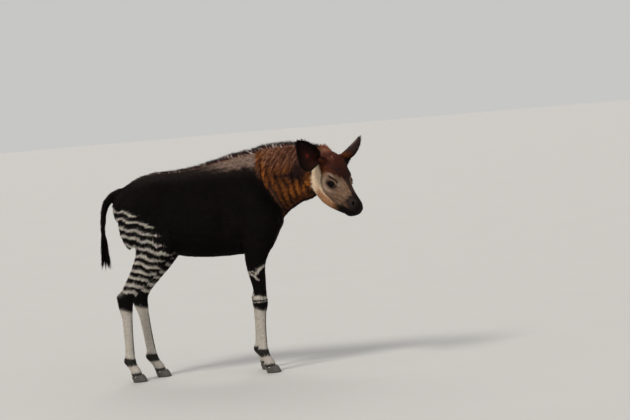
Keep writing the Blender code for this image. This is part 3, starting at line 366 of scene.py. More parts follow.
# Creases of the lids above and below the eye: the line, its depth and its width
UPPER_CREASE = ((0.136, 0.078, 0.034), (0.15, 0.074, 0.046), (0.164, 0.067, 0.05), (0.182, 0.058, 0.044))
LOWER_CREASE = ((0.136, 0.078, 0.006), (0.15, 0.075, 0.004), (0.168, 0.068, 0.009), (0.184, 0.06, 0.02))
LID_CREASES = ((UPPER_CREASE, 0.0018, 0.0024), (LOWER_CREASE, 0.0014, 0.0024))
CREASED_EYE = (0.16, 0.072, 0.029)

# On the head, how far along each border lies at a height: the throat's and the cream's; and how high
# the maroon brow begins at a distance along
THROAT_EDGE = (
    (-0.108, 0.11), (-0.095, 0.081), (-0.071, 0.062), (-0.043, 0.04),
    (-0.014, 0.027), (0.02, 0.018), (0.09, -0.02),
)
CHEEK_EDGE = (
    (-0.05, 0.215), (-0.038, 0.17), (-0.027, 0.144), (-0.012, 0.123),
    (0.006, 0.106), (0.025, 0.091), (0.048, 0.066),
)
BROW_EDGE = (
    (0.03, 0.046), (0.057, 0.044), (0.078, 0.037), (0.093, 0.036), (0.111, 0.056), (0.13, 0.067),
    (0.149, 0.074), (0.192, 0.07), (0.21, 0.064),
)

# Rows of the mane: how far aside each stands and how far its locks splay; the step between its
# places, and how thickly its locks, the tail's and the lashes grow
MANE_ROWS = ((-0.0075, -0.42), (-0.004, -0.2), (0.0, 0.0), (0.004, 0.2), (0.0075, 0.42))
MANE_STEP = 0.006
MANE_GROWTH = 420000.0
TAIL_GROWTH = 260000.0
LASH_GROWTH = 1250000.0

# The stage: the floor's size, and the camera's turn, rise and roll in degrees, and where it aims
FLOOR_REACH = 60
FLOOR_DEPTH = 0.02
VIEW_ANGLES = (6.0, 3.2, -4.9)
VIEW_AIM = (-0.01, -0.081, 0.791)
VIEW_SHIFT = 0.271
SENSOR_WIDTH = 36.0

# How long the hair is at a height on the body, and at a distance along the face
BODY_HAIR = ((0.0, 0.006), (0.06, 0.0065), (0.34, 0.008), (0.55, 0.012), (0.66, 0.018))
FACE_HAIR = ((0.0, 0.0125), (0.08, 0.0092), (0.15, 0.006), (0.24, 0.0046), (0.3, 0.0034), (0.34, 0.0028))

# The middle of a foreleg and of a hind leg, fore and aft, at a height
FORE_AXIS = ((0.05, -0.03), (0.11, -0.055), (0.6, -0.047))
HIND_AXIS = ((0.05, -0.666), (0.14, -0.694), (0.4, -0.708), (0.6, -0.58))


def along_table(table, value):
    """The second value of a table at a given first value."""
    rows = np.array(table)
    return np.interp(value, rows[:, 0], rows[:, 1])


def new_object(name, mesh):
    """An object that shows this mesh."""
    made = bpy.data.objects.new(name, mesh)
    bpy.context.scene.collection.objects.link(made)
    return made


def mesh_from(name, points, faces):
    """A mesh from its points and faces."""
    mesh = bpy.data.meshes.new(name)
    mesh.from_pydata([tuple(p) for p in points], [], [tuple(f) for f in faces])
    mesh.update()
    return mesh


def facing_out(mesh):
    """Turns a closed mesh's faces to point outwards."""
    work = bmesh.new()
    work.from_mesh(mesh)
    bmesh.ops.recalc_face_normals(work, faces=work.faces)
    work.to_mesh(mesh)
    work.free()
    return mesh


def spline(rows, between):
    """Rows on a smooth curve through the given ones, with so many steps between each pair."""
    rows = np.array(rows, float)
    ends = np.vstack([2 * rows[0] - rows[1], rows, 2 * rows[-1] - rows[-2]])
    smooth = []
    for i in range(len(rows) - 1):
        before, start, stop, after = ends[i : i + 4]
        for step in range(between):
            t = step / between
            smooth.append(
                0.5
                * (
                    2 * start
                    + (stop - before) * t
                    + (2 * before - 5 * start + 4 * stop - after) * t**2
                    + (3 * start - before - 3 * stop + after) * t**3
                )
            )
    return np.array(smooth + [rows[-1]])


def section(top, bottom, side, half_width, widest, upper, lower):
    """Points round a section that runs from its bottom point to its top point."""
    turn = np.arange(RING_POINTS) * 2 * math.pi / RING_POINTS
    across, rise = np.cos(turn), np.sin(turn)
    fullness = np.where(rise > 0, upper, lower)
    across = np.sign(across) * np.abs(across) ** (2 / fullness) * half_width
    share = np.abs(rise) ** (2 / fullness)
    height = np.where(rise > 0, widest + (1 - widest) * share, widest * (1 - share))
    return bottom + np.outer(height, top - bottom) + np.outer(across, side)


def bands(rows, count):
    """Faces between closed rows of so many points each."""
    for low in range(rows - 1):
        for k in range(count):
            near, far = low * count + k, low * count + (k + 1) % count
            yield near, far, far + count, near + count


def loft(name, rings):
    """A closed mesh through rings of points, with a pole at each end."""
    points = [p for ring in rings for p in ring]
    count = len(rings[0])
    faces = list(bands(len(rings), count))
    for ring in (0, len(rings) - 1):
        pole = len(points)
        points.append(np.mean(rings[ring], axis=0))
        for k in range(count):
            faces.append((ring * count + k, ring * count + (k + 1) % count, pole))
    return facing_out(mesh_from(name, points, faces))


def head_matrix():
    """The head's frame: forward along the face, to its left, and up through the brow."""
    turn, dip = HEAD_TURN, HEAD_DIP
    forward = Vector((math.cos(dip) * math.cos(turn), -math.cos(dip) * math.sin(turn), -math.sin(dip)))
    left = Vector((math.sin(turn), math.cos(turn), 0))
    up = forward.cross(left)
    place = Matrix((forward, left, up)).transposed().to_4x4()
    place.translation = HEAD_ORIGIN
    return place


def in_head(body):
    """Points of the body in the head's own frame."""
    back = np.array(head_matrix().inverted())
    return body @ back[:3, :3].T + back[:3, 3]


def torso_rings():
    """Rings of the torso, from breast to buttock."""
    side = np.array((0.0, 1.0, 0.0))
    for tx, tz, bx, bz, width, widest, upper, lower in spline(TORSO, RINGS_BETWEEN):
        yield section(np.array((tx, 0, tz)), np.array((bx, 0, bz)), side, width, widest, upper, lower)


def neck_rings():
    """Rings of the neck, which bends to the animal's right as it nears the head."""
    rows = spline(NECK, RINGS_BETWEEN)
    middles = np.column_stack([(rows[:, 0] + rows[:, 2]) / 2, rows[:, 4]])
    headings = np.gradient(middles, axis=0)
    for row, (dx, dy) in zip(rows, headings):
        side = np.array((-dy, dx, 0)) / math.hypot(dx, dy)
        top, bottom = np.array((row[0], row[4], row[1])), np.array((row[2], row[4], row[3]))
        yield section(top, bottom, side, *row[5:])


def head_rings():
    """Rings of the head, from nape to lips."""
    place = np.array(head_matrix())
    side = np.array((0.0, 1.0, 0.0))
    for ts, tu, bs, bu, width, widest, upper, lower in spline(HEAD, RINGS_BETWEEN):
        ring = section(np.array((ts, 0, tu)), np.array((bs, 0, bu)), side, width, widest, upper, lower)
        yield ring @ place[:3, :3].T + place[:3, 3]


def swung(x, z, step, height):
    """Where a point of a leg comes when its foot steps forward, hinged near the body."""
    return x + step * np.clip(1 - z / height, 0, 1)


def limb_rings(rows, hand, step=0.0, height=1.0):
    """Rings square to a limb that runs down from the body. hand is 1 on the left, -1 on the right."""
    rows = spline(rows, RINGS_BETWEEN)
    middles = np.column_stack([swung(rows[:, 0], rows[:, 1], step, height), rows[:, 2] * hand, rows[:, 1]])
    along = np.gradient(middles, axis=0)
    side = np.array((0.0, 1.0, 0.0))
    for middle, way, row in zip(middles, along, rows):
        front = np.cross(side, way)
        front /= np.linalg.norm(front)
        if front[0] < 0:
            front = -front
        reach = front * row[3]
        yield section(middle + reach, middle - reach, side, row[4], 0.5, 2.0, 2.0)


def evaluated_mesh(shape):
    """The mesh of an object with its modifiers applied, and the object taken away."""
    bpy.context.view_layer.update()
    graph = bpy.context.evaluated_depsgraph_get()
    mesh = bpy.data.meshes.new_from_object(shape.evaluated_get(graph))
    bpy.data.objects.remove(shape)
    return mesh


def joined(name, meshes):
    """One mesh that holds several, without fusing them."""
    work = bmesh.new()
    for mesh in meshes:
        work.from_mesh(mesh)
    whole = bpy.data.meshes.new(name)
    work.to_mesh(whole)
    work.free()
    return whole


def gathered(items, key, width=1, kind=float):
    """A number, or a row of them, from each item of a mesh."""
    values = np.empty(len(items) * width, kind)
    items.foreach_get(key, values)
    return values.reshape(-1, width) if width > 1 else values


def points_of(mesh):
    """The mesh's points and their normals."""
    normals = gathered(mesh.vertex_normals, "vector", 3, np.float32)
    return gathered(mesh.vertices, "co", 3), normals.astype(float)


def set_points(mesh, points):
    """Moves the mesh's points to these places."""
    mesh.vertices.foreach_set("co", points.ravel())
    mesh.update()


def swell(points, normals, local, swells):
    """Moves points out along their normals round each place in a list of swells and hollows."""
    for x, y, z, rx, ry, rz, height in swells:
        away = (local - (x, y, z)) / (rx, ry, rz)
        points += normals * (height * np.exp(-(away**2).sum(axis=1)))[:, None]


def mirrored(swells):
    """The same swells on the right side."""
    return [(x, -y, z, *rest) for x, y, z, *rest in swells]


def leg_swells():
    """The points of the legs' joints, on legs that have stepped."""
    for places, (_, steps, height) in zip((FORE_POINTS, HIND_POINTS), LEGS.values()):
        for hand, step in steps.items():
            for x, y, z, *rest in places:
                yield (swung(x, z, step, height), hand * y, z, *rest)


def smooth(low, high, value):
    """A share that rises softly from 0 at low to 1 at high."""
    share = np.clip((value - low) / (high - low), 0, 1)
    return share * share * (3 - 2 * share)


def blot(local, centre, reach):
    """A soft spot round a place, from 1 in its middle to 0."""
    return np.exp(-(((local - centre) / reach) ** 2).sum(axis=1))


def hump(far, width):
    """A soft rise along a line, from 1 on the line to 0."""
    return np.exp(-((far / width) ** 2))


def folded(points):
    """Points with those on the right laid over on the left."""
    return np.column_stack([points[:, 0], np.abs(points[:, 1]), points[:, 2]])


def on_tail(body):
    """Which points are on the tail, below its root."""
    return (body[:, 0] < TAIL_START) & (np.abs(body[:, 1]) < 0.04) & (body[:, 2] > 0.5)


def ripple(points, scale, seed):
    """A soft uneven pattern from -1 to 1, with features about as large as scale."""
    rng = np.random.default_rng(seed)
    total = np.zeros(len(points))
    for _ in range(7):
        way = rng.normal(size=3)
        way *= 2 * math.pi / scale * rng.uniform(0.7, 1.4) / np.linalg.norm(way)
        total += np.sin(points @ way + rng.uniform(0, 7))
    return total / 3.2


def line_distance(points, line):
    """How far points are from a line of straight pieces, and how far along it the nearest place is."""
    line = np.array(line, float)
    best = np.full(len(points), 1e9)
    along = np.zeros(len(points))
    for k in range(len(line) - 1):
        start, way = line[k], line[k + 1] - line[k]
        share = np.clip(((points - start) @ way) / (way @ way), 0, 1)
        far = np.linalg.norm(points - start - share[:, None] * way, axis=1)
        nearer = far < best
        best[nearer] = far[nearer]
        along[nearer] = (k + share)[nearer]
    return best, along


def neck_middle(x):
    """How far to its left the neck's middle is at a distance forward."""
    rows = np.array(NECK)
    return np.interp(x, (rows[:, 0] + rows[:, 2]) / 2, rows[:, 4])


def side_view(body):
    """How far forward and how high points lie, seen from the right; the left side is mirrored."""
    middle = neck_middle(body[:, 0])
    aside = middle - np.abs(body[:, 1] - middle)
    return np.column_stack([(body[:, 0] + 0.01) * 0.9945 + (aside + 0.081) * 0.1045, body[:, 2]])


def head_share(body, head):
    """1 on the head, 0 on the rest of the body."""
    ahead = head[:, 0] - along_table(THROAT_EDGE, head[:, 2]) + 0.003 * ripple(body, 0.02, 4)
    near = np.linalg.norm(head - HEAD_MIDDLE, axis=1) < 0.275
    return smooth(-0.007, 0.007, ahead) * near


def neck_share(body):
    """1 on the rust part of the neck, 0 on the dark shoulder and below."""
    view = side_view(body)
    ragged = 0.004 * ripple(body, 0.03, 3)
    ahead = view[:, 0] - along_table(SHOULDER_EDGE, view[:, 1]) + ragged
    return smooth(-0.005, 0.007, ahead) * smooth(0.775, 0.8, body[:, 2])


def leg_part(body):
    """Which leg points are on: 1 on a foreleg, 2 on a hind leg, 0 elsewhere, with x and y measured
    from that leg's plain place."""
    hand = np.where(body[:, 1] > 0, 1, -1)
    fore = (body[:, 0] > FOREPARTS_END) & (body[:, 2] < 0.66)
    hind = (body[:, 0] < -0.35) & (body[:, 2] < 0.9)
    part = np.where(fore, 1, np.where(hind, 2, 0))
    leg = folded(body)
    for here, (_, steps, height) in zip((fore, hind), LEGS.values()):
        step = np.where(hand > 0, steps[1], steps[-1])
        leg[:, 0] -= np.where(here, step * np.clip(1 - body[:, 2] / height, 0, 1), 0)
    return part, leg


def over(colour, tint, share):
    """One colour, or one for each point, laid over others by a share at each point."""
    share = np.clip(share, 0, 1)[:, None]
    return colour * (1 - share) + np.array(tint) * share


def plain(colour, points):
    """The same colour at each of the points."""
    return np.tile(np.array(colour), (len(points), 1))


def paint_trunk(body, coat):
    """The dark coat of the trunk, with a paler band along the top of the withers: painted sheen, partly a paler
    tone of the coat.
    """
    colour = plain(coat.black, body)
    fray = 0.01 * ripple(body * (1.0, 1.0, 0.2), 0.02, 6)
    # Painted sheen along the top of the withers, partly a paler tone of the coat
    pale_and_sheen = smooth(1.018, 1.046, body[:, 2] + fray) * smooth(-0.34, -0.1, body[:, 0]) * 0.8
    colour = over(colour, coat.pale_and_sheen, pale_and_sheen * (0.75 + 0.25 * ripple(body, 0.02, 5)))
    # The top of the back a little lighter: painted light from above
    back = smooth(0.97, 1.03, body[:, 2]) * 0.025
    colour = over(colour, coat.pale_and_sheen, back)
    brown = 0.35 + 0.35 * ripple(body, 0.12, 8)
    return over(colour, coat.brown, brown * 0.5)


def paint_neck(body, coat):
    """The rust neck: pinkish above, brighter by the throat, with painted highlights along its strands, and dark
    in its folds, between strands and under the neck, where the dark is painted shade.
    """
    view = side_view(body)
    x, z = view[:, 0], view[:, 1]
    flow = x - 2.3 * np.clip(0.985 - z, 0, 0.2) ** 2 - 0.4 * np.clip(z - 1.0, 0, 1)
    strand = ripple(np.column_stack([flow, 0.3 * body[:, 1], 0.13 * z]), 0.0125, 14)
    fine = ripple(np.column_stack([flow, 0.5 * body[:, 1], 0.1 * z]), 0.006, 15)
    streak = strand + 0.6 * fine
    upper = smooth(0.99, 1.05, z) * smooth(0.02, 0.05, x)
    glow = blot(view, (0.165, 0.915), (0.06, 0.038)) + blot(view, (0.24, 0.932), (0.03, 0.03))
    glow += blot(view, (0.035, 1.005), (0.018, 0.045))
    colour = over(plain(coat.rust, body), coat.orange, 0.85 * glow)
    light = over(plain(coat.orange, body), coat.pink, upper)
    # Painted highlights along the strands, pinker high on the neck
    lit = (0.45 + 0.35 * np.clip(glow, 0, 1)) * smooth(0.0, 1.0, streak) + 0.12 * upper
    colour = over(colour, light, lit)
    dusk = 0.95 * blot(view, (0.145, 0.978), (0.06, 0.013))
    dusk = dusk + 1.2 * blot(view, (0.208, 1.0), (0.036, 0.052))
    # The dark patches, and painted shade between the strands
    colour = over(colour, coat.dusk, dusk + 0.9 * smooth(0.15, -0.8, streak))
    # Painted highlights along the lit edges of the folds
    for line in FOLD_HIGHLIGHTS:
        far, _ = line_distance(view, line)
        colour = over(colour, coat.highlight_mauve, 0.75 * hump(far, 0.0045))
    # Painted shade: each fold painted near black over the groove that fine_relief sinks
    for line in NECK_FOLDS:
        far, along = line_distance(view, line)
        ends = smooth(-0.2, 0.5, along) * smooth(-0.2, 0.4, len(line) - 1 - along)
        width = 0.0066 * (0.75 + 0.35 * ends)
        colour = over(colour, coat.black, 0.96 * hump(far, width) * (0.6 + 0.4 * ends))
    # Painted shade under the neck, darkening its lower edge towards black
    rows = np.array(NECK)
    under = view[:, 1] - np.interp(body[:, 0], rows[:, 2], rows[:, 3])
    painted_under_shade = smooth(0.022, 0.008, under) * smooth(0.3, 0.26, body[:, 0])
    return over(colour, coat.black, painted_under_shade * 0.95)


def paint_face(head, coat):
    """The face: maroon brow, greyish cheek and nose, cream throat latch, charcoal muzzle."""
    flat = folded(head)
    s, a, u = flat.T
    streak = 0.7 * ripple(head * (0.35, 1.0, 1.0), 0.012, 21)
    streak = streak + 0.5 * ripple(head * (0.5, 1.0, 1.0), 0.006, 24)
    streaked = smooth(-0.3, 0.8, streak) * (0.45 + 0.4 * smooth(0.17, 0.22, s)) * smooth(0.12, 0.16, s)
    colour = over(plain(coat.face, head), coat.streak, streaked)
    edge = along_table(CHEEK_EDGE, u) + 0.003 * ripple(head, 0.02, 22)
    colour = over(colour, coat.cream, smooth(0.007, -0.007, s - edge) * smooth(0.062, 0.04, u))
    # Painted shadow: a brown line along the crest of the cheek
    border, _ = line_distance(flat, CHEEK_SHADOW_LINE)
    colour = over(colour, coat.streak, 0.75 * hump(border, 0.006))
    for place, reach, share in PALE_SPOTS:
        colour = over(colour, coat.pale, share * blot(flat, place, reach))
    jaw = smooth(-0.034, -0.052, u + 0.06 * (s - 0.15)) * smooth(0.095, 0.13, s)
    colour = over(colour, coat.jaw, jaw * 0.9)
    rows = np.array(HEAD)
    top = u - np.interp(s, rows[:, 0], rows[:, 1])
    brow_line = along_table(BROW_EDGE, s) + 0.0035 * ripple(head, 0.02, 23)
    brow = smooth(-0.005, 0.006, u - brow_line) * smooth(0.222, 0.19, s)
    colour = over(colour, coat.maroon, brow)
    patch = blot(flat, (0.086, 0.075, 0.048), (0.022, 0.03, 0.017))
    patch = patch + 0.6 * blot(flat, (0.125, 0.067, 0.072), (0.02, 0.03, 0.008))
    colour = over(colour, coat.patch, 0.95 * patch)
    dark_brow = blot(flat, (0.14, 0.03, 0.09), (0.042, 0.04, 0.024)) * (0.85 + 0.45 * streak)
    colour = over(colour, coat.dusk, 0.95 * dark_brow)
    wide = np.interp(s, [0.15, 0.195, 0.24, 0.28], [0.03, 0.015, 0.0125, 0.017])
    strip = smooth(wide * 1.25, wide * 0.75, a) * smooth(0.14, 0.18, s) * smooth(-0.03, -0.016, top)
    colour = over(colour, coat.dusk, 0.85 * strip)
    tuft = blot(flat, (0.06, 0.045, 0.095), (0.05, 0.04, 0.03)) * smooth(0.2, -0.8, streak)
    colour = over(colour, coat.dusk, 0.6 * tuft)
    crown = blot(head, (0.06, -0.025, 0.113), (0.016, 0.014, 0.02)) * smooth(-0.4, 0.8, streak)
    colour = over(colour, coat.pink, 0.8 * crown)
    poll = blot(flat, (-0.006, 0.0, 0.092), (0.028, 0.03, 0.022))
    colour = over(colour, coat.pink, 0.55 * poll)
    ragged = 0.004 * ripple(head, 0.016, 25)
    muzzle = smooth(0.244, 0.284, s + 0.1 * np.abs(u - 0.005) + 1.4 * ragged)
    colour = over(colour, coat.muzzle, muzzle * 0.97)
    lip, _ = line_distance(flat, MOUTH_LINE)
    below = u - np.interp(s, [p[0] for p in MOUTH_LINE], [p[2] for p in MOUTH_LINE])
    upper_lip = blot(flat, (0.28, 0.041, -0.006), (0.024, 0.02, 0.011)) * smooth(0.0, 0.004, below)
    colour = over(colour, coat.streak, 0.9 * upper_lip)
    lower = smooth(0.002, -0.004, below) * smooth(0.18, 0.262, s + 0.3 * (u + 0.05) + ragged)
    colour = over(colour, np.array(coat.muzzle) * 0.7, lower * 0.96)
    # Painted shade in the crease between the lips
    colour = over(colour, coat.black, 0.95 * hump(lip, 0.003))
    rim = blot(flat, NOSTRIL_CENTRE, (0.02, 0.016, 0.015))
    rim = rim - blot(flat, NOSTRIL_CENTRE, (0.013, 0.012, 0.01))
    colour = over(colour, coat.rim, np.clip(rim * 1.7, 0, 0.75))
    # Painted shade in the nostril's pit
    colour = over(colour, coat.black, 1.3 * blot(flat, NOSTRIL_CENTRE, (0.0105, 0.012, 0.008)))
    tip = blot(flat, (0.326, 0.018, 0.02), (0.018, 0.022, 0.018))
    colour = over(colour, coat.black, 0.8 * tip)
    # Dark lids, with painted shade round the eye
    ring = blot(flat, (0.162, 0.07, 0.027), (0.0255, 0.03, 0.016))
    colour = over(colour, coat.lid, 1.5 * ring)
    corner, _ = line_distance(flat, EYE_CORNER)
    colour = over(colour, coat.lid, 0.9 * hump(corner, 0.0045))
    stroke, _ = line_distance(flat, BROW_STROKE)
    colour = over(colour, coat.stroke, hump(stroke, 0.0062))
    # The brightest cream below the ear, with a painted highlight on it
    bright = blot(flat, (0.028, 0.062, 0.018), (0.018, 0.03, 0.02))
    return over(colour, coat.bright, bright)


def white_of_shank(level):
    """How white a shank is at a height: dark round the fetlock and over the hoof."""
    fetlock = smooth(0.084, 0.09, level) * smooth(0.128, 0.121, level)
    return (1 - 0.95 * fetlock) * (1 - 0.9 * smooth(0.052, 0.045, level))


def paint_foreleg(leg, body, coat):
    """A foreleg: black with white marks on the forearm, a white band over the knee, white below."""
    x, y, z = leg[:, 0], leg[:, 1], leg[:, 2]
    wave = 0.0035 * ripple(body, 0.045, 31)
    colour = plain(coat.black, leg)
    marks = np.zeros(len(leg))
    for line in FORE_MARKS:
        far, along = line_distance(np.column_stack([x, z + wave]), [p[:2] for p in line])
        half = np.interp(along, range(len(line)), [p[2] for p in line])
        marks = np.maximum(marks, smooth(1.25, 0.75, far / half))
    outside = smooth(0.07, 0.09, y)
    colour = over(colour, coat.white, marks * (0.25 + 0.75 * outside))
    level = z + wave
    band = smooth(0.37, 0.375, level) * smooth(0.393, 0.387, level)
    line = smooth(0.3595, 0.3615, level) * smooth(0.3665, 0.364, level) * 0.7
    colour = over(colour, coat.white, np.maximum(band, line))
    shank = smooth(0.328, 0.316, level + 0.25 * np.clip(x + 0.045, -1, 0.03))
    front = smooth(0.0105, 0.0065, np.abs(y - FORE_MIDDLE)) * smooth(-0.046, -0.038, x)
    shank *= 1 - 0.93 * front * smooth(0.135, 0.15, z)
    return over(colour, coat.white, shank * white_of_shank(level))


def paint_hindleg(leg, body, coat):
    """A hind leg: white stripes across thigh and buttock, black to the hock, white below."""
    x, y, z = leg[:, 0], leg[:, 1], leg[:, 2]
    wave = 0.006 * ripple(body, 0.085, 41) + 0.0016 * ripple(body, 0.02, 43)
    colour = plain(coat.black, leg)
    behind = x + 0.66
    sweep = z + 0.3 * behind - 0.55 * np.clip(behind, -0.12, 0.0) * np.clip(z - 0.6, 0, 0.2) + wave
    phase = (sweep - 0.452) / 0.0405
    stripe = np.abs(phase - np.round(phase))
    wide = 0.205 - 0.0065 * np.clip(phase, 0, 12)
    front = np.interp(z, [0.44, 0.56, 0.66, 0.76, 0.86], [-0.6, -0.505, -0.455, -0.52, -0.61])
    taper = smooth(0.012, -0.05, x - front - 0.016 * np.sin(np.round(phase) * 2.4))
    inner = smooth(0.03, 0.06, y)
    white = smooth(wide * taper + 0.035, wide * taper - 0.035, stripe) * smooth(0.02, 0.25, taper)
    white *= smooth(-0.4, -0.2, phase) * smooth(10.6, 10.2, phase) * (0.15 + 0.85 * inner)
    colour = over(colour, coat.white, white)
    level = z + 0.4 * wave
    shank = smooth(0.375, 0.355, level + 0.35 * np.clip(x + 0.705, -0.03, 0.03))
    front_line = smooth(0.0095, 0.006, np.abs(y - HIND_MIDDLE)) * smooth(-0.7, -0.69, x)
    front_line *= smooth(0.135, 0.15, z)
    shank *= 1 - 0.9 * front_line * smooth(0.34, 0.3, z)
    point = blot(leg, (-0.745, HIND_MIDDLE, 0.455), (0.022, 0.05, 0.012))
    colour = over(colour, coat.white, 0.8 * point)
    return over(colour, coat.white, shank * white_of_shank(level))


def paint(body, coat):
    """The coat's colour at points of the skin, the same for the skin and for its tufts."""
    head = in_head(body)
    colour = paint_trunk(body, coat)
    part, leg = leg_part(body)
    fore = (part == 1) * smooth(0.6, 0.57, body[:, 2])
    colour = over(colour, paint_foreleg(leg, body, coat), fore)
    hind = (part == 2) * smooth(0.9, 0.885, body[:, 2])
    colour = over(colour, paint_hindleg(leg, body, coat), hind * ~on_tail(body))
    breast = np.interp(body[:, 2], [0.62, 0.68, 0.8], [0.0, 0.058, 0.115])
    rim = smooth(0.03, 0.012, np.hypot(body[:, 0] - breast, body[:, 1] * 0.6))
    rim = rim * smooth(0.6, 0.66, body[:, 2]) * smooth(0.82, 0.78, body[:, 2])
    colour = over(colour, coat.rust, 0.35 * rim)
    colour = over(colour, paint_neck(body, coat), neck_share(body))
    colour = over(colour, paint_face(head, coat), head_share(body, head))
    return np.clip(colour, 0.001, 1)


def hair_length(body):
    """How long the coat is: longest on the trunk, shortest on face and feet."""
    head = in_head(body)
    length = along_table(BODY_HAIR, body[:, 2])
    on_neck = smooth(0.02, 0.1, body[:, 0]) * smooth(0.76, 0.82, body[:, 2])
    length = length * (1 - on_neck) + 0.0155 * on_neck
    on_head = head_share(body, head)
    face = along_table(FACE_HAIR, head[:, 0])
    return length * (1 - on_head) + face * on_head


def coat_depth(body):
    """How deep the coat lies over the skin."""
    return 0.17 * hair_length(body)


def hair_way(body, normals):
    """Which way the hair lies, along the skin."""
    head = in_head(body)
    part, _ = leg_part(body)
    way = plain((-0.86, 0.0, -0.5), body)
    on_neck = (smooth(-0.02, 0.08, body[:, 0]) * smooth(0.74, 0.82, body[:, 2]))[:, None]
    way = way * (1 - on_neck) + np.array((-0.78, 0.0, -0.62)) * on_neck
    down = np.where(part == 1, smooth(0.7, 0.56, body[:, 2]), smooth(0.84, 0.62, body[:, 2]) * (part == 2))
    down = np.maximum(down, (body[:, 0] < TAIL_START + 0.005) & (body[:, 2] > 0.5))[:, None]
    way = way * (1 - down) + np.array((-0.12, 0.0, -1.0)) * down
    place = np.array(head_matrix())[:3, :3]
    side = np.sign(head[:, 1]) * smooth(0.01, 0.03, np.abs(head[:, 1]))
    local = np.column_stack([np.full(len(body), -0.95), 0.25 * side, np.full(len(body), -0.16)])
    local[:, 2] += 0.5 * smooth(0.03, 0.08, head[:, 2]) * smooth(0.16, 0.1, head[:, 0])
    on_head = head_share(body, head)[:, None]
    way = way * (1 - on_head) + (local @ place.T) * on_head
    swirl = np.column_stack([ripple(body, 0.07, seed) for seed in (51, 52, 53)])
    way = way + 0.14 * swirl
    way -= normals * (way * normals).sum(axis=1)[:, None]
    return way / np.maximum(np.linalg.norm(way, axis=1), 1e-6)[:, None]


def flesh(voxel):
    """The whole body without claws or mane, as one smooth closed mesh."""
    lofts = [
        loft("torso_loft", list(torso_rings())),
        loft("neck_loft", list(neck_rings())),
        loft("head_loft", list(head_rings())),
        loft("tail_loft", list(limb_rings(TAIL, 1))),
    ]
    for hand in HANDS.values():
        for rows, steps, height in LEGS.values():
            lofts.append(loft("leg_loft", list(limb_rings(rows, hand, steps[hand], height))))
        root, axis, width, _ = ear_frame(hand)
        lofts.append(ball("root", root - axis * 0.002, EAR_ROOT_BALL, frame_of(width, axis), 24, 12))
    whole = new_object("flesh", joined("flesh", lofts))
    fuse = whole.modifiers.new("fuse", "REMESH")
    fuse.mode = "VOXEL"
    fuse.voxel_size = voxel
    ease = whole.modifiers.new("ease", "SMOOTH")
    ease.factor = 0.5
    ease.iterations = round(7 * (0.005 / voxel) ** 2)
    mesh = evaluated_mesh(whole)
    points, normals = points_of(mesh)
    trunk_only = normals * (points[:, 0] < 0.2)[:, None]
    swell(points, trunk_only, points.copy(), [*BODY_SWELLS, *mirrored(BODY_SWELLS), *leg_swells()])
    swell(points, normals, in_head(points), [*HEAD_SWELLS, *mirrored(HEAD_SWELLS)])
    set_points(mesh, points)
    return mesh


def fine_relief(mesh):
    """Folds of the neck, creases round the eyes and a little unevenness, and the coat's depth."""
    points, normals = points_of(mesh)
    head = in_head(points)
    flat = folded(head)
    move = -coat_depth(points)
    zone = neck_share(points) * (1 - head_share(points, head))
    view = side_view(points)
    rows = np.flatnonzero(zone > 0.01)
    sink = np.zeros(len(rows))
    for line in NECK_FOLDS:
        far, along = line_distance(view[rows], line)
        ends = smooth(-0.1, 0.6, along) * smooth(-0.1, 0.5, len(line) - 1 - along)
        sink += (0.0042 * hump(far, 0.0062) - 0.0012 * hump(far, 0.016)) * (0.3 + 0.7 * ends)
    move[rows] -= sink * zone[rows]
    near = np.flatnonzero(np.linalg.norm(flat - CREASED_EYE, axis=1) < 0.06)
    for line, depth, width in LID_CREASES:
        far, _ = line_distance(flat[near], line)
        move[near] -= depth * hump(far, width)
    on_trunk = (1 - head_share(points, head)) * smooth(0.45, 0.7, points[:, 2])
    move += 0.0009 * on_trunk * (ripple(points, 0.055, 61) + 0.5 * ripple(points, 0.022, 62))
    set_points(mesh, points + normals * move[:, None])


def coarser(mesh, triangles, favour):
    """The flesh in fewer triangles, with more of them kept for the head."""
    whole = new_object("flesh", mesh)
    points, _ = points_of(mesh)
    away = np.linalg.norm(points - np.array(head_matrix() @ Vector(HEAD_MIDDLE)), axis=1)
    near = np.clip((0.26 - away) / 0.06, 0, 1)
    body = whole.vertex_groups.new(name="body")
    for step in range(11):
        rows = np.flatnonzero(np.round(near * 10) == step)
        body.add(rows.tolist(), 1 - 0.08 * step, "REPLACE")
    thin = whole.modifiers.new("thin", "DECIMATE")
    thin.vertex_group = "body"
    thin.vertex_group_factor = favour
    thin.ratio = triangles / (2 * len(mesh.polygons))
    return evaluated_mesh(whole)


def ball(name, centre, radii, turn=None, segments=20, rings=12):
    """An ellipsoid, turned by a rotation if one is given."""
    work = bmesh.new()
    bmesh.ops.create_uvsphere(work, u_segments=segments, v_segments=rings, radius=1)
    matrix = Matrix.Translation(centre) @ (turn or Matrix.Identity(3)).to_4x4() @ Matrix.Diagonal((*radii, 1))
    bmesh.ops.transform(work, matrix=matrix, verts=work.verts)
    mesh = bpy.data.meshes.new(name)
    work.to_mesh(mesh)
    work.free()
    return mesh


def frame_of(out, guide):
    """A rotation whose Z is out, and whose X lies as near to guide as it can."""
    z = Vector(out).normalized()
    x = (Vector(guide) - z * z.dot(Vector(guide))).normalized()
    return Matrix((x, z.cross(x), z)).transposed()


def boolean(mesh, operation, cutters):
    """The mesh after a Boolean with a list of closed meshes."""
    pieces = bpy.data.collections.new("pieces")
    bpy.context.scene.collection.children.link(pieces)
    for cutter in cutters:
        pieces.objects.link(bpy.data.objects.new("piece", cutter))
    base = new_object("base", mesh)
    step = base.modifiers.new("step", "BOOLEAN")
    step.operation = operation
    step.solver = "MANIFOLD"
    step.operand_type = "COLLECTION"
    step.collection = pieces
    result = evaluated_mesh(base)
    for piece in list(pieces.objects):
        bpy.data.objects.remove(piece)
    bpy.data.collections.remove(pieces)
    return result


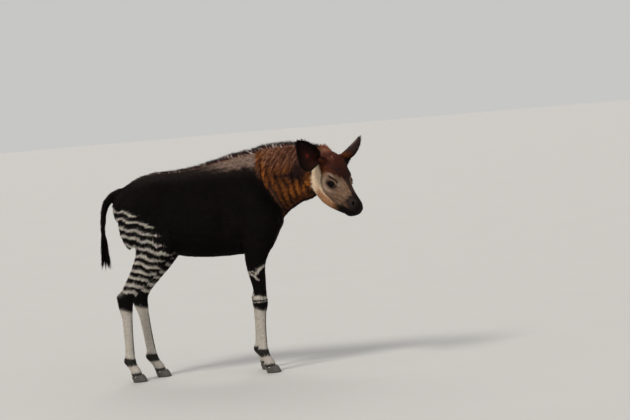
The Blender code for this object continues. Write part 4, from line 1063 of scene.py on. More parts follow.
def eye_frame(hand):
    """An eye's centre and a rotation that looks out of it."""
    place = head_matrix()
    forward, left, up = EYE_CENTRE
    centre = place @ Vector((forward, hand * left, up))
    out = place.to_3x3() @ Vector((EYE_OUT[0], hand * EYE_OUT[1], EYE_OUT[2]))
    along = place.to_3x3() @ Vector((math.cos(LID_TILT), 0, math.sin(LID_TILT)))
    return centre, frame_of(out, along)


def almond(steps, spread):
    """Points round the opening between the lids."""
    for k in range(steps):
        angle = 2 * math.pi * k / steps
        rise = math.copysign(abs(math.sin(angle)) ** LID_POINTEDNESS, math.sin(angle)) * LID_HALF_HEIGHT
        yield math.cos(angle) * LID_HALF_WIDTH * spread, rise * spread


def lid_opening(hand):
    """A prism with an almond outline that opens the lids of one eye."""
    centre, turn = eye_frame(hand)
    steps = 48
    points = []
    for height, spread in ((0.45, 0.9), (2.2, 1.25)):
        for x, y in almond(steps, spread):
            points.append(centre + turn @ Vector((x, y, height * EYE_RADIUS)))
    faces = [*bands(2, steps), range(steps), range(steps, 2 * steps)]
    return facing_out(mesh_from("opening", points, faces))


def surface_of(mesh):
    """A tree that finds the nearest point of the skin, and which way the skin faces there."""
    points, _ = points_of(mesh)
    return BVHTree.FromPolygons(points.tolist(), [tuple(p.vertices) for p in mesh.polygons])


def mouth_cutter(tree, opening):
    """A wedge that follows the skin round the muzzle and cuts the line between the lips."""
    place = head_matrix()
    half = spline(MOUTH_LINE, 5)
    line = [(s, -l, u) for s, l, u in half] + [tuple(row) for row in half[-2::-1]]
    line = [place @ Vector(p) for p in line]
    up = place.to_3x3() @ Vector((0, 0, 1))
    points, faces = [], []
    for k, guess in enumerate(line):
        along = line[min(k + 1, len(line) - 1)] - line[max(k - 1, 0)]
        out = along.cross(up).normalized()
        middle = tree.find_nearest(guess)[0]
        for reach, wide in ((0.01, opening * 2.0), (-MOUTH_DEPTH, 0.0006)):
            for lift in (wide / 2, -wide / 2):
                points.append(middle + out * reach + up * lift)
        if k:
            old, new = 4 * (k - 1), 4 * k
            for a, b in ((0, 1), (1, 3), (3, 2), (2, 0)):
                faces.append((old + a, old + b, new + b))
                faces.append((old + a, new + b, new + a))
    last = len(points) - 4
    faces += [(0, 1, 3, 2), (last, last + 1, last + 3, last + 2)]
    return facing_out(mesh_from("mouth", points, faces))


def nostril(hand, tree):
    """A slanting pit on one side of the nose."""
    place = head_matrix()
    forward, left, up = NOSTRIL_CENTRE
    centre, out = tree.find_nearest(place @ Vector((forward, hand * left, up)))[:2]
    along = place.to_3x3() @ Vector((0.3, -hand * 0.3, -0.9))
    return ball("nostril", centre - out * 0.0035, NOSTRIL_RADII, frame_of(out, along), 28, 16)


def ear_frame(hand):
    """An ear's root, and its axis, width and facing."""
    place = head_matrix()
    axis = Vector(LEFT_EAR_AXIS if hand > 0 else RIGHT_EAR_AXIS).normalized()
    facing = Vector(LEFT_EAR_FACING if hand > 0 else RIGHT_EAR_FACING)
    facing = (facing - axis * axis.dot(facing)).normalized()
    root = place @ Vector((EAR_ROOT[0], hand * EAR_ROOT[1], EAR_ROOT[2]))
    turn = place.to_3x3()
    return root, turn @ axis, turn @ axis.cross(facing), turn @ facing


def ear_point(place, row, across, inset):
    """A point on an ear's wall, inset from its outer face towards the hollow."""
    root, axis, width, facing = place
    share, half_width, wrap, bend = row[0], row[1], math.radians(row[2]), row[3]
    radius = half_width / math.sin(min(wrap, math.pi / 2))
    angle = across * wrap
    depth = radius - EAR_SHAPE[0][1] * (1 - share) - (radius - inset) * math.cos(angle)
    aside = (radius - inset) * math.sin(angle) + bend
    return root + axis * (EAR_LENGTH * share) + width * aside + facing * depth


def foot_places():
    """Each foot's name, and where the middle of its claws stands."""
    for end, (rows, steps, height) in LEGS.items():
        x, z, middle = rows[-1][:3]
        for side, hand in HANDS.items():
            yield f"{end}_{side}", swung(x, z, steps[hand], height), middle * hand


def coronet(x):
    """How high the hoof reaches, at a distance ahead of the foot's middle."""
    return CORONET_HEIGHT + CORONET_SLOPE * x


def foot_trim(foot_x, foot_y):
    """A block that trims the flesh of a foot along the top of its claws."""
    points = []
    for x in (-0.07, 0.09):
        for y in (-0.05, 0.05):
            for z in (-0.06, coronet(x - CLAW_AHEAD) - 0.003):
                points.append((foot_x + x, foot_y + y, z))
    faces = ((0, 1, 3, 2), (4, 6, 7, 5), (0, 4, 5, 1), (2, 3, 7, 6), (0, 2, 6, 4), (1, 5, 7, 3))
    return facing_out(mesh_from("trim", points, faces))


def relax(mesh, rows, rounds):
    """Softens the edges among some of the mesh's points."""
    points, _ = points_of(mesh)
    edges = gathered(mesh.edges, "vertices", 2, int)
    inside = np.zeros(len(points), bool)
    inside[rows] = True
    edges = edges[inside[edges].any(axis=1)]
    for _ in range(rounds):
        total, count = np.zeros_like(points), np.zeros(len(points))
        for a, b in ((0, 1), (1, 0)):
            np.add.at(total, edges[:, a], points[edges[:, b]])
            np.add.at(count, edges[:, a], 1)
        mean = total[rows] / np.maximum(count[rows], 1)[:, None]
        points[rows] += 0.5 * (mean - points[rows])
    set_points(mesh, points)


def clean_triangles(mesh):
    """The mesh in plain triangles, keeping its largest surface only."""
    work = bmesh.new()
    work.from_mesh(mesh)
    bmesh.ops.triangulate(work, faces=work.faces, quad_method="BEAUTY", ngon_method="BEAUTY")
    left = set(work.verts)
    best = []
    while left:
        group, edge = [], [left.pop()]
        while edge:
            point = edge.pop()
            group.append(point)
            for link in point.link_edges:
                other = link.other_vert(point)
                if other in left:
                    left.remove(other)
                    edge.append(other)
        if len(group) > len(best):
            best, group = group, best
        bmesh.ops.delete(work, geom=group, context="VERTS")
    work.to_mesh(mesh)
    work.free()
    return mesh


def skin_mesh(sizes):
    """The skin, with lids, nostrils and lips cut into it."""
    mesh = flesh(sizes.voxel)
    fine_relief(mesh)
    mesh = coarser(mesh, sizes.triangles, sizes.head_favour)
    tree = surface_of(mesh)
    lids, opened = [], [mouth_cutter(tree, 0.0026)]
    for hand in HANDS.values():
        centre, turn = eye_frame(hand)
        lids.append(ball("lids", centre, (EYE_RADIUS + LID_THICKNESS,) * 3, turn, 64, 40))
        opened.append(ball("socket", centre, (EYE_RADIUS + GAP,) * 3, turn, 64, 40))
        opened.append(lid_opening(hand))
        opened.append(nostril(hand, tree))
    for _, foot_x, foot_y in foot_places():
        opened.append(foot_trim(foot_x, foot_y))
    mesh = boolean(mesh, "UNION", lids)
    mesh = boolean(mesh, "DIFFERENCE", opened)
    mesh = clean_triangles(mesh)
    points, _ = points_of(mesh)
    flat = folded(in_head(points))
    lip, _ = line_distance(flat, MOUTH_LINE)
    hole = np.linalg.norm(flat - NOSTRIL_CENTRE, axis=1)
    relax(mesh, np.flatnonzero((lip < 0.006) | (hole < 0.018)), 2)
    for hand in HANDS.values():
        centre, _ = eye_frame(hand)
        far = np.linalg.norm(points - np.array(centre), axis=1)
        relax(mesh, np.flatnonzero((far > EYE_RADIUS + EYE_CLEARANCE) & (far < EYE_RADIUS + 0.009)), 3)
    return mesh


def store(mesh, **layers):
    """Keeps numbers, vectors or colours for the mesh's points, each under its name."""
    for name, values in layers.items():
        values = np.asarray(values, np.float32)
        kind, key = STORED_AS[values.shape[1:]]
        mesh.attributes.new(name, kind, "POINT").data.foreach_set(key, values.ravel())


def with_alpha(colours):
    """Colours with a full alpha beside them."""
    return np.column_stack([colours, np.ones(len(colours))])


def tuft_breadth(length):
    """How wide a tuft is for its length."""
    return TUFT_LEAST_WIDTH + TUFT_WIDENING * length


def bare_share(body):
    """0 where no hair grows: in the eyes' opening, on the lips, in the nostrils; 1 elsewhere."""
    head = in_head(body)
    flat = folded(head)
    grows = np.ones(len(body))
    for hand in HANDS.values():
        centre, turn = eye_frame(hand)
        local = (body - np.array(centre)) @ np.array(turn)
        far = np.linalg.norm(local, axis=1)
        almond_share = np.hypot(local[:, 0] / LID_HALF_WIDTH, local[:, 1] / LID_HALF_HEIGHT)
        lid = (far < EYE_RADIUS + 0.01) & (local[:, 2] > 0)
        grows *= np.where(lid, smooth(1.22, 1.45, almond_share), 1)
        grows *= np.where(far < EYE_RADIUS + EYE_CLEARANCE, 0, 1)
    lip, _ = line_distance(flat, MOUTH_LINE)
    grows *= smooth(0.003, 0.0055, lip)
    hole = blot(flat, NOSTRIL_CENTRE, (0.015, 0.014, 0.0125))
    grows *= smooth(0.42, 0.25, hole)
    nose = smooth(0.318, 0.336, head[:, 0]) * smooth(-0.012, -0.002, head[:, 2])
    return grows * (1 - 0.8 * nose)


def dress(mesh, coat):
    """Stores on the skin what its coat needs: colour, lie, length, width and where it grows."""
    points, normals = points_of(mesh)
    length = hair_length(points)
    lie = hair_way(points, normals)
    grows = smooth(0.03, 0.036, points[:, 2])
    for reach in (0.0, 0.5, 0.95):
        grows = np.minimum(grows, bare_share(points + lie * (length * reach)[:, None]))
    breadth = tuft_breadth(length)
    cover = np.interp(length, [0.003, 0.006, 0.009, 0.013, 0.018], [0.95, 1.45, 1.8, 2.4, 3.0])
    growth = cover / (length * breadth) * grows
    colours = with_alpha(paint(points, coat))
    store(mesh, coat_colour=colours, lie=lie, size=length, breadth=breadth, growth=growth)


def set_down(mesh):
    """Moves a mesh from the body's own frame to the model's frame."""
    mesh.transform(Matrix.Translation(CENTRING))
    mesh.update()
    return mesh


def centring():
    """How far the model's frame is from the body's own, from the places of its eyes."""
    offsets = []
    for side, hand in HANDS.items():
        name = "eye_" + side
        low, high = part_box(name)
        offsets.append((low + high) / 2 - eye_frame(hand)[0])
    middle = (offsets[0] + offsets[1]) / 2
    return Vector((middle.x, middle.y, 0))


CENTRING = centring()


class Value:
    """A number in a node tree, on which sums and products add Math nodes."""

    def __init__(self, graph, socket):
        self.graph, self.socket = graph, socket

    def maths(self, operation, first, second):
        """The result of one Math node."""
        node = self.graph.add("ShaderNodeMath", {"operation": operation}, {0: first, 1: second})
        return Value(self.graph, node.outputs[0])

    def __add__(self, other):
        return self.maths("ADD", self, other)

    __radd__ = __add__

    def __mul__(self, other):
        return self.maths("MULTIPLY", self, other)

    __rmul__ = __mul__

    def __sub__(self, other):
        return self.maths("SUBTRACT", self, other)

    def __rsub__(self, other):
        return self.maths("SUBTRACT", other, self)


class Graph:
    """A node tree, and a method that adds its nodes."""

    def __init__(self, tree):
        self.tree = tree

    def add(self, kind, settings=None, inputs=None):
        """A node of a kind, with its settings and then the values or links of its sockets."""
        node = self.tree.nodes.new(kind)
        for name, value in (settings or {}).items():
            if name == "stops":
                ramp = node.color_ramp.elements
                while len(ramp) < len(value):
                    ramp.new(0.5)
                for stop, (place, colour) in zip(ramp, value):
                    stop.position, stop.color = place, (*colour, 1)
            else:
                setattr(node, name, value)
        return self.feed(node, inputs or {})

    def feed(self, node, inputs):
        """The node with values set or links led into its sockets."""
        for name, value in inputs.items():
            socket = node.inputs[name]
            if isinstance(value, Value):
                value = value.socket
            if isinstance(value, bpy.types.NodeSocket):
                self.tree.links.new(value, socket)
            else:
                socket.default_value = value
        return node

    def noise(self, where, scale, detail):
        """A noise texture's value."""
        inputs = {"Vector": where, "Scale": scale, "Detail": detail}
        return Value(self, self.add("ShaderNodeTexNoise", None, inputs).outputs["Fac"])

    def vectors(self, operation, first, second):
        """The result of one Vector Math node; a scale takes a number second."""
        key = "Scale" if operation == "SCALE" else 1
        return self.add("ShaderNodeVectorMath", {"operation": operation}, {0: first, key: second}).outputs[0]

    def bump(self, strength, distance, height):
        """A normal raised by a height."""
        inputs = {"Strength": strength, "Distance": distance, "Height": height}
        return self.add("ShaderNodeBump", None, inputs).outputs["Normal"]


def finish_named(name):
    """A new material, its graph, its surface shader and its Object coordinates."""
    made = bpy.data.materials.new(name)
    made.use_nodes = True
    graph = Graph(made.node_tree)
    where = graph.add("ShaderNodeTexCoord").outputs["Object"]
    return made, graph, made.node_tree.nodes["Principled BSDF"], where


def coat_finish(name, roughness, sheen, grain, bump):
    """Hair or skin that shows the colours stored on it, with a fine uneven grain."""
    made, graph, surface, where = finish_named(name)
    colour = graph.add("ShaderNodeAttribute", {"attribute_name": "coat_colour"}).outputs["Color"]
    broad = graph.noise(where, grain, 3.0)
    fine = graph.noise(where, grain * 9, 2.0)
    looks = {
        "Base Color": graph.vectors("SCALE", colour, 0.56 + broad * 0.46 + fine * 0.42),
        "Roughness": roughness - 0.1 + fine * 0.2,
        "Sheen Weight": sheen,
        "Sheen Roughness": 0.45,
        "Sheen Tint": (0.85, 0.62, 0.52, 1),
        "Specular IOR Level": 0.06,
    }
    if bump:
        looks["Normal"] = graph.bump(bump, 0.0012, fine)
    graph.feed(surface, looks)
    return made


def horn_finish():
    """Dark hoof horn: paler grains down the wall and faint rings round it."""
    made, graph, surface, where = finish_named("horn")
    drawn = graph.add("ShaderNodeMapping", None, {"Vector": where, "Scale": (1.0, 1.0, 0.12)})
    grain = graph.noise(drawn.outputs[0], 420.0, 3.0)
    drawn = graph.add("ShaderNodeMapping", None, {"Vector": where, "Scale": (0.08, 0.08, 1.0)})
    rings = graph.noise(drawn.outputs[0], 330.0, 2.0)
    colour = graph.add(
        "ShaderNodeValToRGB",
        {"stops": [(0.3, (0.018, 0.014, 0.012)), (0.72, (0.085, 0.068, 0.056))]},
        {"Fac": grain},
    )
    looks = {
        "Base Color": colour.outputs[0],
        "Normal": graph.bump(0.5, 0.0008, grain * 0.5 + rings),
        "Roughness": 0.3 + grain * 0.25,
    }
    graph.feed(surface, looks)
    return made


def eye_finish():
    """A wet dark eye that shows the colours stored on it."""
    made, graph, surface, _ = finish_named("wet_eye")
    colour = graph.add("ShaderNodeAttribute", {"attribute_name": "coat_colour"}).outputs["Color"]
    graph.feed(surface, {"Base Color": colour, "Roughness": 0.09, "Specular IOR Level": 0.09})
    return made


def floor_finish(tone):
    """A plain pale floor with a slight unevenness."""
    made, graph, surface, where = finish_named("pale_floor")
    shade = 0.97 + graph.noise(where, 1.5, 4.0) * 0.05
    graph.feed(surface, {"Base Color": graph.vectors("SCALE", tuple(tone), shade), "Roughness": 0.85})
    return made


def tuft_mesh(name, rings, tip):
    """One tuft of unit length along +X: a flat three-sided spike through rings of half width,
    distance, height and thickness."""
    points = []
    for along, half, height, thick in rings:
        points += [(along, -half, height), (along, half, height), (along, 0, height + thick)]
    last = len(points)
    points.append(tip)
    faces = [(0, 1, 2), *bands(len(rings), 3)]
    faces += [(last - 3 + k, last - 3 + (k + 1) % 3, last) for k in range(3)]
    mesh = facing_out(mesh_from(name, points, faces))
    layer = mesh.uv_layers.new(name="OFBake")
    spots = gathered(mesh.vertices, "co", 3)[gathered(mesh.loops, "vertex_index", 1, int), :2] - (0.5, 0)
    layer.data.foreach_set("uv", spots.astype(np.float32).ravel())
    return mesh


def coat_tree():
    """Scatters tufts over a skin, along the lie stored on it."""
    tree = bpy.data.node_groups.new("Coat tufts", "GeometryNodeTree")
    graph = Graph(tree)
    for name, kind in (
        ("Skin", "Geometry"),
        ("Tuft", "Object"),
        ("Hair", "Material"),
        ("Thickness of growth", "Float"),
        ("Spread", "Float"),
        ("Lift", "Float"),
        ("Seed", "Int"),
    ):
        tree.interface.new_socket(name, in_out="INPUT", socket_type="NodeSocket" + kind)
    tree.interface.new_socket("Coat", in_out="OUTPUT", socket_type="NodeSocketGeometry")
    given = graph.add("NodeGroupInput").outputs

    def stored(name, kind):
        node = graph.add("GeometryNodeInputNamedAttribute", {"data_type": kind}, {"Name": name})
        return node.outputs["Attribute"]

    def chance(low, high, seed):
        node = graph.add("FunctionNodeRandomValue", {"data_type": "FLOAT"}, {2: low, 3: high, "Seed": seed})
        return Value(graph, node.outputs[1])

    growth = Value(graph, stored("growth", "FLOAT")) * Value(graph, given["Thickness of growth"])
    spots = graph.add(
        "GeometryNodeDistributePointsOnFaces",
        {"distribute_method": "RANDOM"},
        {"Mesh": given["Skin"], "Density": growth, "Seed": given["Seed"]},
    )
    stray = graph.add(
        "FunctionNodeRandomValue", {"data_type": "FLOAT_VECTOR"}, {0: (-1, -1, -1), 1: (1, 1, 1), "Seed": 11}
    )
    lie = stored("lie", "FLOAT_VECTOR")
    heading = graph.vectors("ADD", lie, graph.vectors("SCALE", stray.outputs[0], given["Spread"]))
    lift = chance(0.0, 1.0, 12) * Value(graph, given["Lift"]) * -1
    upright = graph.vectors("ADD", spots.outputs["Normal"], graph.vectors("SCALE", lie, lift))
    turn = graph.add(
        "FunctionNodeAxesToRotation",
        {"primary_axis": "Z", "secondary_axis": "X"},
        {"Primary Axis": upright, "Secondary Axis": heading},
    )
    length = Value(graph, stored("size", "FLOAT")) * chance(0.72, 1.18, 13)
    breadth = Value(graph, stored("breadth", "FLOAT")) * chance(0.75, 1.25, 14)
    scale = graph.add("ShaderNodeCombineXYZ", None, {0: length, 1: breadth, 2: length})
    tuft = graph.add("GeometryNodeObjectInfo", None, {"Object": given["Tuft"]})
    placed = graph.add(
        "GeometryNodeInstanceOnPoints",
        None,
        {
            "Points": spots.outputs["Points"],
            "Instance": tuft.outputs["Geometry"],
            "Rotation": turn.outputs[0],
            "Scale": scale.outputs[0],
        },
    )
    real = graph.add("GeometryNodeRealizeInstances", None, {0: placed.outputs[0]})
    worn = graph.add("GeometryNodeSetMaterial", None, {0: real.outputs[0], "Material": given["Hair"]})
    graph.add("NodeGroupOutput", None, {0: worn.outputs[0]})
    return tree


def scattered(name, base, tuft, thickness, spread, lift, seed):
    """The tufts that the coat's tree puts on a mesh, as a plain mesh."""
    tree = bpy.data.node_groups.get("Coat tufts") or coat_tree()
    template = new_object("tuft", tuft.copy())
    shape = new_object(name, base)
    grow = shape.modifiers.new("grow", "NODES")
    grow.node_group = tree
    sockets = {s.name: s.identifier for s in tree.interface.items_tree if s.in_out == "INPUT"}
    for key, value in (
        ("Tuft", template),
        ("Hair", hair()),
        ("Thickness of growth", thickness),
        ("Spread", spread),
        ("Lift", lift),
        ("Seed", seed),
    ):
        grow[sockets[key]] = value
    made = evaluated_mesh(shape)
    bpy.data.objects.remove(template)
    made.name = name
    return made


def tuft_roots(mesh, tuft):
    """The middle of each tuft's root in a scattered mesh."""
    points, _ = points_of(mesh)
    return points.reshape(-1, len(tuft.vertices), 3)[:, :3].mean(axis=1)


def finish_tufts(mesh, tuft, colours, places, shades, seed, depth):
    """Gives each tuft its colour, from root to tip, and its patch of the map."""
    count, size = len(colours), len(tuft.vertices)
    rng = np.random.default_rng(seed)
    tone = rng.normal(1.0, depth, (count, 1, 1))
    warm = 1 + rng.normal(0, depth * 0.35, (count, 1, 3))
    shade = np.interp(gathered(tuft.vertices, "co", 3)[:, 0], *shades)[None, :, None]
    colour = np.clip(colours[:, None, :] * tone * warm * shade, 0.001, 1)
    patch = gathered(tuft.uv_layers["OFBake"].data, "uv", 2, np.float32)[None] * (0.003, 0.003)
    spots = np.clip(places[:, None, :] + patch, 0.001, 0.999)
    for layer in [a.name for a in mesh.attributes if a.name in CARRIED]:
        mesh.attributes.remove(mesh.attributes[layer])
    store(mesh, coat_colour=with_alpha(colour.reshape(count * size, 3)))
    layer = mesh.uv_layers.get("OFBake") or mesh.uv_layers.new(name="OFBake")
    layer.data.foreach_set("uv", spots.astype(np.float32).ravel())


def round_share(aside, ahead):
    """How far round a middle line points lie, from 0 to 1."""
    return (np.arctan2(aside, ahead) / math.pi + 1) / 2


def unwrapped(body):
    """Where points of the skin lie on its unwrap: each part rolled out in a cell of its own."""
    head = in_head(body)
    part, leg = leg_part(body)
    on_head = head_share(body, head) > 0.5
    on_neck = (body[:, 0] > 0.06) & (body[:, 2] > 0.78) & ~on_head
    tail = on_tail(body)
    fore = (part == 1) & (body[:, 2] < UNWRAPPED_LEG)
    hind = (part == 2) & (body[:, 2] < UNWRAPPED_LEG)
    left = body[:, 1] > 0
    middle = neck_middle(body[:, 0])
    u = round_share(body[:, 1] - middle * on_neck, body[:, 2] - np.where(on_neck, 0.96, 0.83))
    v = np.clip((body[:, 0] + 0.83) / 0.98, 0, 1)
    spot = np.column_stack([v * 0.98 + 0.01, 0.6 + 0.38 * u])
    spot[on_neck] = np.column_stack([0.01 + 0.3 * u, 0.35 + 0.22 * (body[:, 0] - 0.06) / 0.3])[on_neck]
    face = round_share(head[:, 1], head[:, 2] - 0.01)
    spot[on_head] = np.column_stack([0.34 + 0.3 * (head[:, 0] + 0.06) / 0.44, 0.3 + 0.27 * face])[on_head]
    axis = np.where(fore, along_table(FORE_AXIS, body[:, 2]), along_table(HIND_AXIS, body[:, 2]))
    roll = round_share(leg[:, 1] - 0.08, leg[:, 0] - axis)
    for mask, corner in (
        (fore & left, 0.01),
        (fore & ~left, 0.16),
        (hind & left, 0.31),
        (hind & ~left, 0.46),
    ):
        spot[mask] = np.column_stack([corner + 0.14 * roll, 0.01 + 0.27 * body[:, 2] / UNWRAPPED_LEG])[mask]
    dock = round_share(body[:, 1], body[:, 0] + 0.822)
    spot[tail] = np.column_stack([0.63 + 0.1 * dock, 0.01 + 0.27 * (body[:, 2] - 0.5) / 0.5])[tail]
    return spot


def part_of_mesh(mesh, keep):
    """A copy of the faces for which keep is true, with what is stored on their points."""
    work = bmesh.new()
    work.from_mesh(mesh)
    work.faces.ensure_lookup_table()
    gone = [work.faces[i] for i in np.flatnonzero(~keep)]
    bmesh.ops.delete(work, geom=gone, context="FACES")
    piece = bpy.data.meshes.new("region")
    work.to_mesh(piece)
    work.free()
    return piece


def bare_skin():
    """A copy of the skin's mesh, back in the body's own frame."""
    skin = bpy.data.objects["skin"].data.copy()
    skin.transform(Matrix.Translation(-CENTRING))
    return skin


def worn_by(mesh, finish, name, nodes):
    """The finished piece: placed, with its material, riding on the body in place of some nodes."""
    set_down(mesh)
    mesh.materials.clear()
    mesh.materials.append(finish)
    made = new_object(name, mesh)
    made.data.name = name
    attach(made, "root")
    if nodes:
        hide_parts(*nodes)
    return made


def material(name, make, *values):
    """A material by name, made the first time it is asked for."""
    return bpy.data.materials.get(name) or make(*values)


def hair():
    """The finish of the coat's tufts."""
    return material("hair", coat_finish, "hair", 0.66, 0.0, 60.0, 0)


def short_tuft():
    """The tuft that the coat is made of."""
    rings = ((0.0, 0.3, -0.07, 0.03), (0.42, 0.5, 0.105, 0.035))
    return tuft_mesh("short_tuft", rings, (1.0, 0.0, 0.15))


def long_lock():
    """A long narrow lock, for mane, tail and fringes."""
    rings = ((0.0, 0.42, 0.0, 0.03), (0.34, 0.5, 0.012, 0.028), (0.7, 0.34, 0.055, 0.02))
    return tuft_mesh("long_lock", rings, (1.0, 0.0, 0.125))


def crest_line():
    """Points along the top of the neck and back, from the poll to the croup, close together."""
    place = head_matrix()
    poll = [tuple(place @ Vector((r[0], 0, r[1]))) for r in spline(HEAD, 12) if -0.03 < r[0] < 0.03]
    neck = [(r[0], r[4], r[1]) for r in spline(NECK, 12) if -0.02 < r[0] < 0.272]
    back = [(r[0], 0.0, r[1]) for r in spline(TORSO, 12) if -0.66 < r[0] < -0.05]
    return np.array(poll[::-1] + neck[::-1] + back)


def ribbon(points, rise, stored):
    """A strip of quads from a line of points up by rise, with values stored at each point of it."""
    count = len(points)
    both = np.vstack([points, points + rise])
    faces = [(k, k + 1, count + k + 1, count + k) for k in range(count - 1)]
    mesh = mesh_from("ribbon", both, faces)
    store(mesh, **{name: np.concatenate([values, values]) for name, values in stored.items()})
    return mesh


class OkapiBody(bpy.types.PropertyGroup):
    """Sizes of the skin."""

    voxel: FloatProperty(
        name="Fusing step",
        description="Step at which the flesh is fused",
        default=0.0026,
        unit="LENGTH",
        precision=4,
    )
    triangles: IntProperty(name="Skin triangles", description="Triangles kept in the skin", default=168000)
    head_favour: FloatProperty(
        name="Head's share",
        description="How strongly triangles are kept for the head",
        default=0.0008,
        precision=5,
    )


def tone(name, colour, words):
    """A colour property with its default."""
    return FloatVectorProperty(
        name=name, description=words, subtype="COLOR", size=3, default=colour, min=0, max=1
    )


class OkapiCoat(bpy.types.PropertyGroup):
    """Colours and growth of the coat."""

    black: tone("Black", (0.0019, 0.0013, 0.0012), "The dark coat of the trunk")
    brown: tone("Brown", (0.005, 0.0022, 0.0018), "The warmer dark of the trunk")
    # Tone of the painted sheen on the withers and the top of the back, partly a paler coat
    pale_and_sheen: tone("Pale_and_sheen", (0.43, 0.29, 0.225), "The paler bloom on the withers")
    rust: tone("Rust", (0.075, 0.023, 0.008), "The neck")
    # Also the tone of the painted highlights low on the neck
    orange: tone("Orange", (0.33, 0.102, 0.017), "The bright parts of the neck")
    # On the neck, the tone of the painted highlights high up; on the head, the crown and poll
    pink: tone("Pink brown", (0.34, 0.155, 0.092), "The upper neck")
    # The tone of the painted highlights beside the neck's folds
    highlight_mauve: tone("Mauve", (0.085, 0.05, 0.04), "Thin pale lines beside the folds")
    # Also the painted shade between the neck's strands
    dusk: tone("Dusk", (0.016, 0.007, 0.0055), "Dark parts of neck and brow")
    face: tone("Face", (0.18, 0.11, 0.072), "Cheek and nose")
    pale: tone("Pale grey", (0.4, 0.29, 0.215), "Round the eye")
    streak: tone("Streaks", (0.085, 0.045, 0.026), "Brown streaks on the nose")
    cream: tone("Cream", (0.7, 0.54, 0.38), "Throat latch and cheek")
    # Cream below the ear, with a painted highlight on it
    bright: tone("Bright cream", (0.93, 0.8, 0.58), "The brightest spot, below the ear")
    jaw: tone("Jaw", (0.4, 0.19, 0.085), "The tan edge of the jaw")
    maroon: tone("Maroon", (0.05, 0.0115, 0.006), "Forehead and crown")
    patch: tone("Patch", (0.085, 0.022, 0.004), "The orange-brown patch behind the eye")
    muzzle: tone("Muzzle", (0.0055, 0.003, 0.0025), "Charcoal muzzle and lips")
    rim: tone("Nostril rim", (0.036, 0.025, 0.021), "The paler rim of the nostrils")
    # The dark lids and lashes, and the painted shade round the eyes
    lid: tone("Lids", (0.0035, 0.0022, 0.002), "The dark lids")
    stroke: tone("Brow stroke", (0.014, 0.005, 0.0035), "The stroke over the eye")
    white: tone("White", (0.43, 0.39, 0.34), "White marks and shanks")
    thickness: FloatProperty(
        name="Thickness", description="How thickly the coat grows", default=1.0, min=0.1, max=2
    )
    spread: FloatProperty(name="Spread", description="How far tufts stray from the lie", default=0.2)
    lift: FloatProperty(name="Lift", description="How far tufts stand off the skin", default=0.12)


class OkapiMane(bpy.types.PropertyGroup):
    """The mane, the tail's tuft and the ears' fringes."""

    height: FloatProperty(
        name="Height", description="Height of the mane", default=0.04, unit="LENGTH", precision=4
    )
    lean: FloatProperty(
        name="Lean", description="How far the mane leans back", default=math.radians(33), subtype="ANGLE"
    )
    tail_length: FloatProperty(
        name="Tail tuft", description="Length of its locks", default=0.105, unit="LENGTH"
    )
    pale: tone("Pale hairs", (0.42, 0.37, 0.33), "Pale strokes in the mane")
    poll: tone("Poll", (0.21, 0.066, 0.034), "The warm tuft at the poll")
    root: tone("Roots", (0.16, 0.06, 0.035), "The mane's roots")
    tip: tone("Tips", (0.012, 0.008, 0.008), "The mane's tips")


class OkapiStage(bpy.types.PropertyGroup):
    """Floor, light and camera."""

    floor: tone("Floor", (0.395, 0.388, 0.376), "The floor's tone")
    air: tone("Air", (0.62, 0.62, 0.61), "The light from all round")
    air_strength: FloatProperty(name="Strength of the air", description="Strength of that light", default=0.92)
    key: FloatProperty(name="Key light", description="Strength of the key light", default=2.6)
    fill: FloatProperty(name="Fill light", description="Strength of the fill light", default=0.5)
    rim: FloatProperty(name="Back light", description="Strength of the back light", default=1.0)
    lens: FloatProperty(name="Lens", description="Focal length", default=135.0)
    distance: FloatProperty(name="Distance", description="Camera distance", default=11.75, unit="LENGTH")


class SkinOperator(bpy.types.Operator):
    """Builds the skin, with lids, lips, nostrils and the folds of the neck"""

    bl_idname = "okapi.skin"
    bl_label = "Skin"

    def execute(self, context):
        """Makes the piece and puts it on the body."""
        mesh = skin_mesh(context.scene.okapi_body)
        dress(mesh, context.scene.okapi_coat)
        mesh.shade_smooth()
        finish = material("skin", coat_finish, "skin", 0.62, 0.0, 60.0, 0.45)
        nodes = ["torso", "neck", "head", "tail"]
        nodes += [f"{end}leg_{side}" for end in LEGS for side in HANDS]
        worn_by(mesh, finish, "skin", nodes)
        return {"FINISHED"}


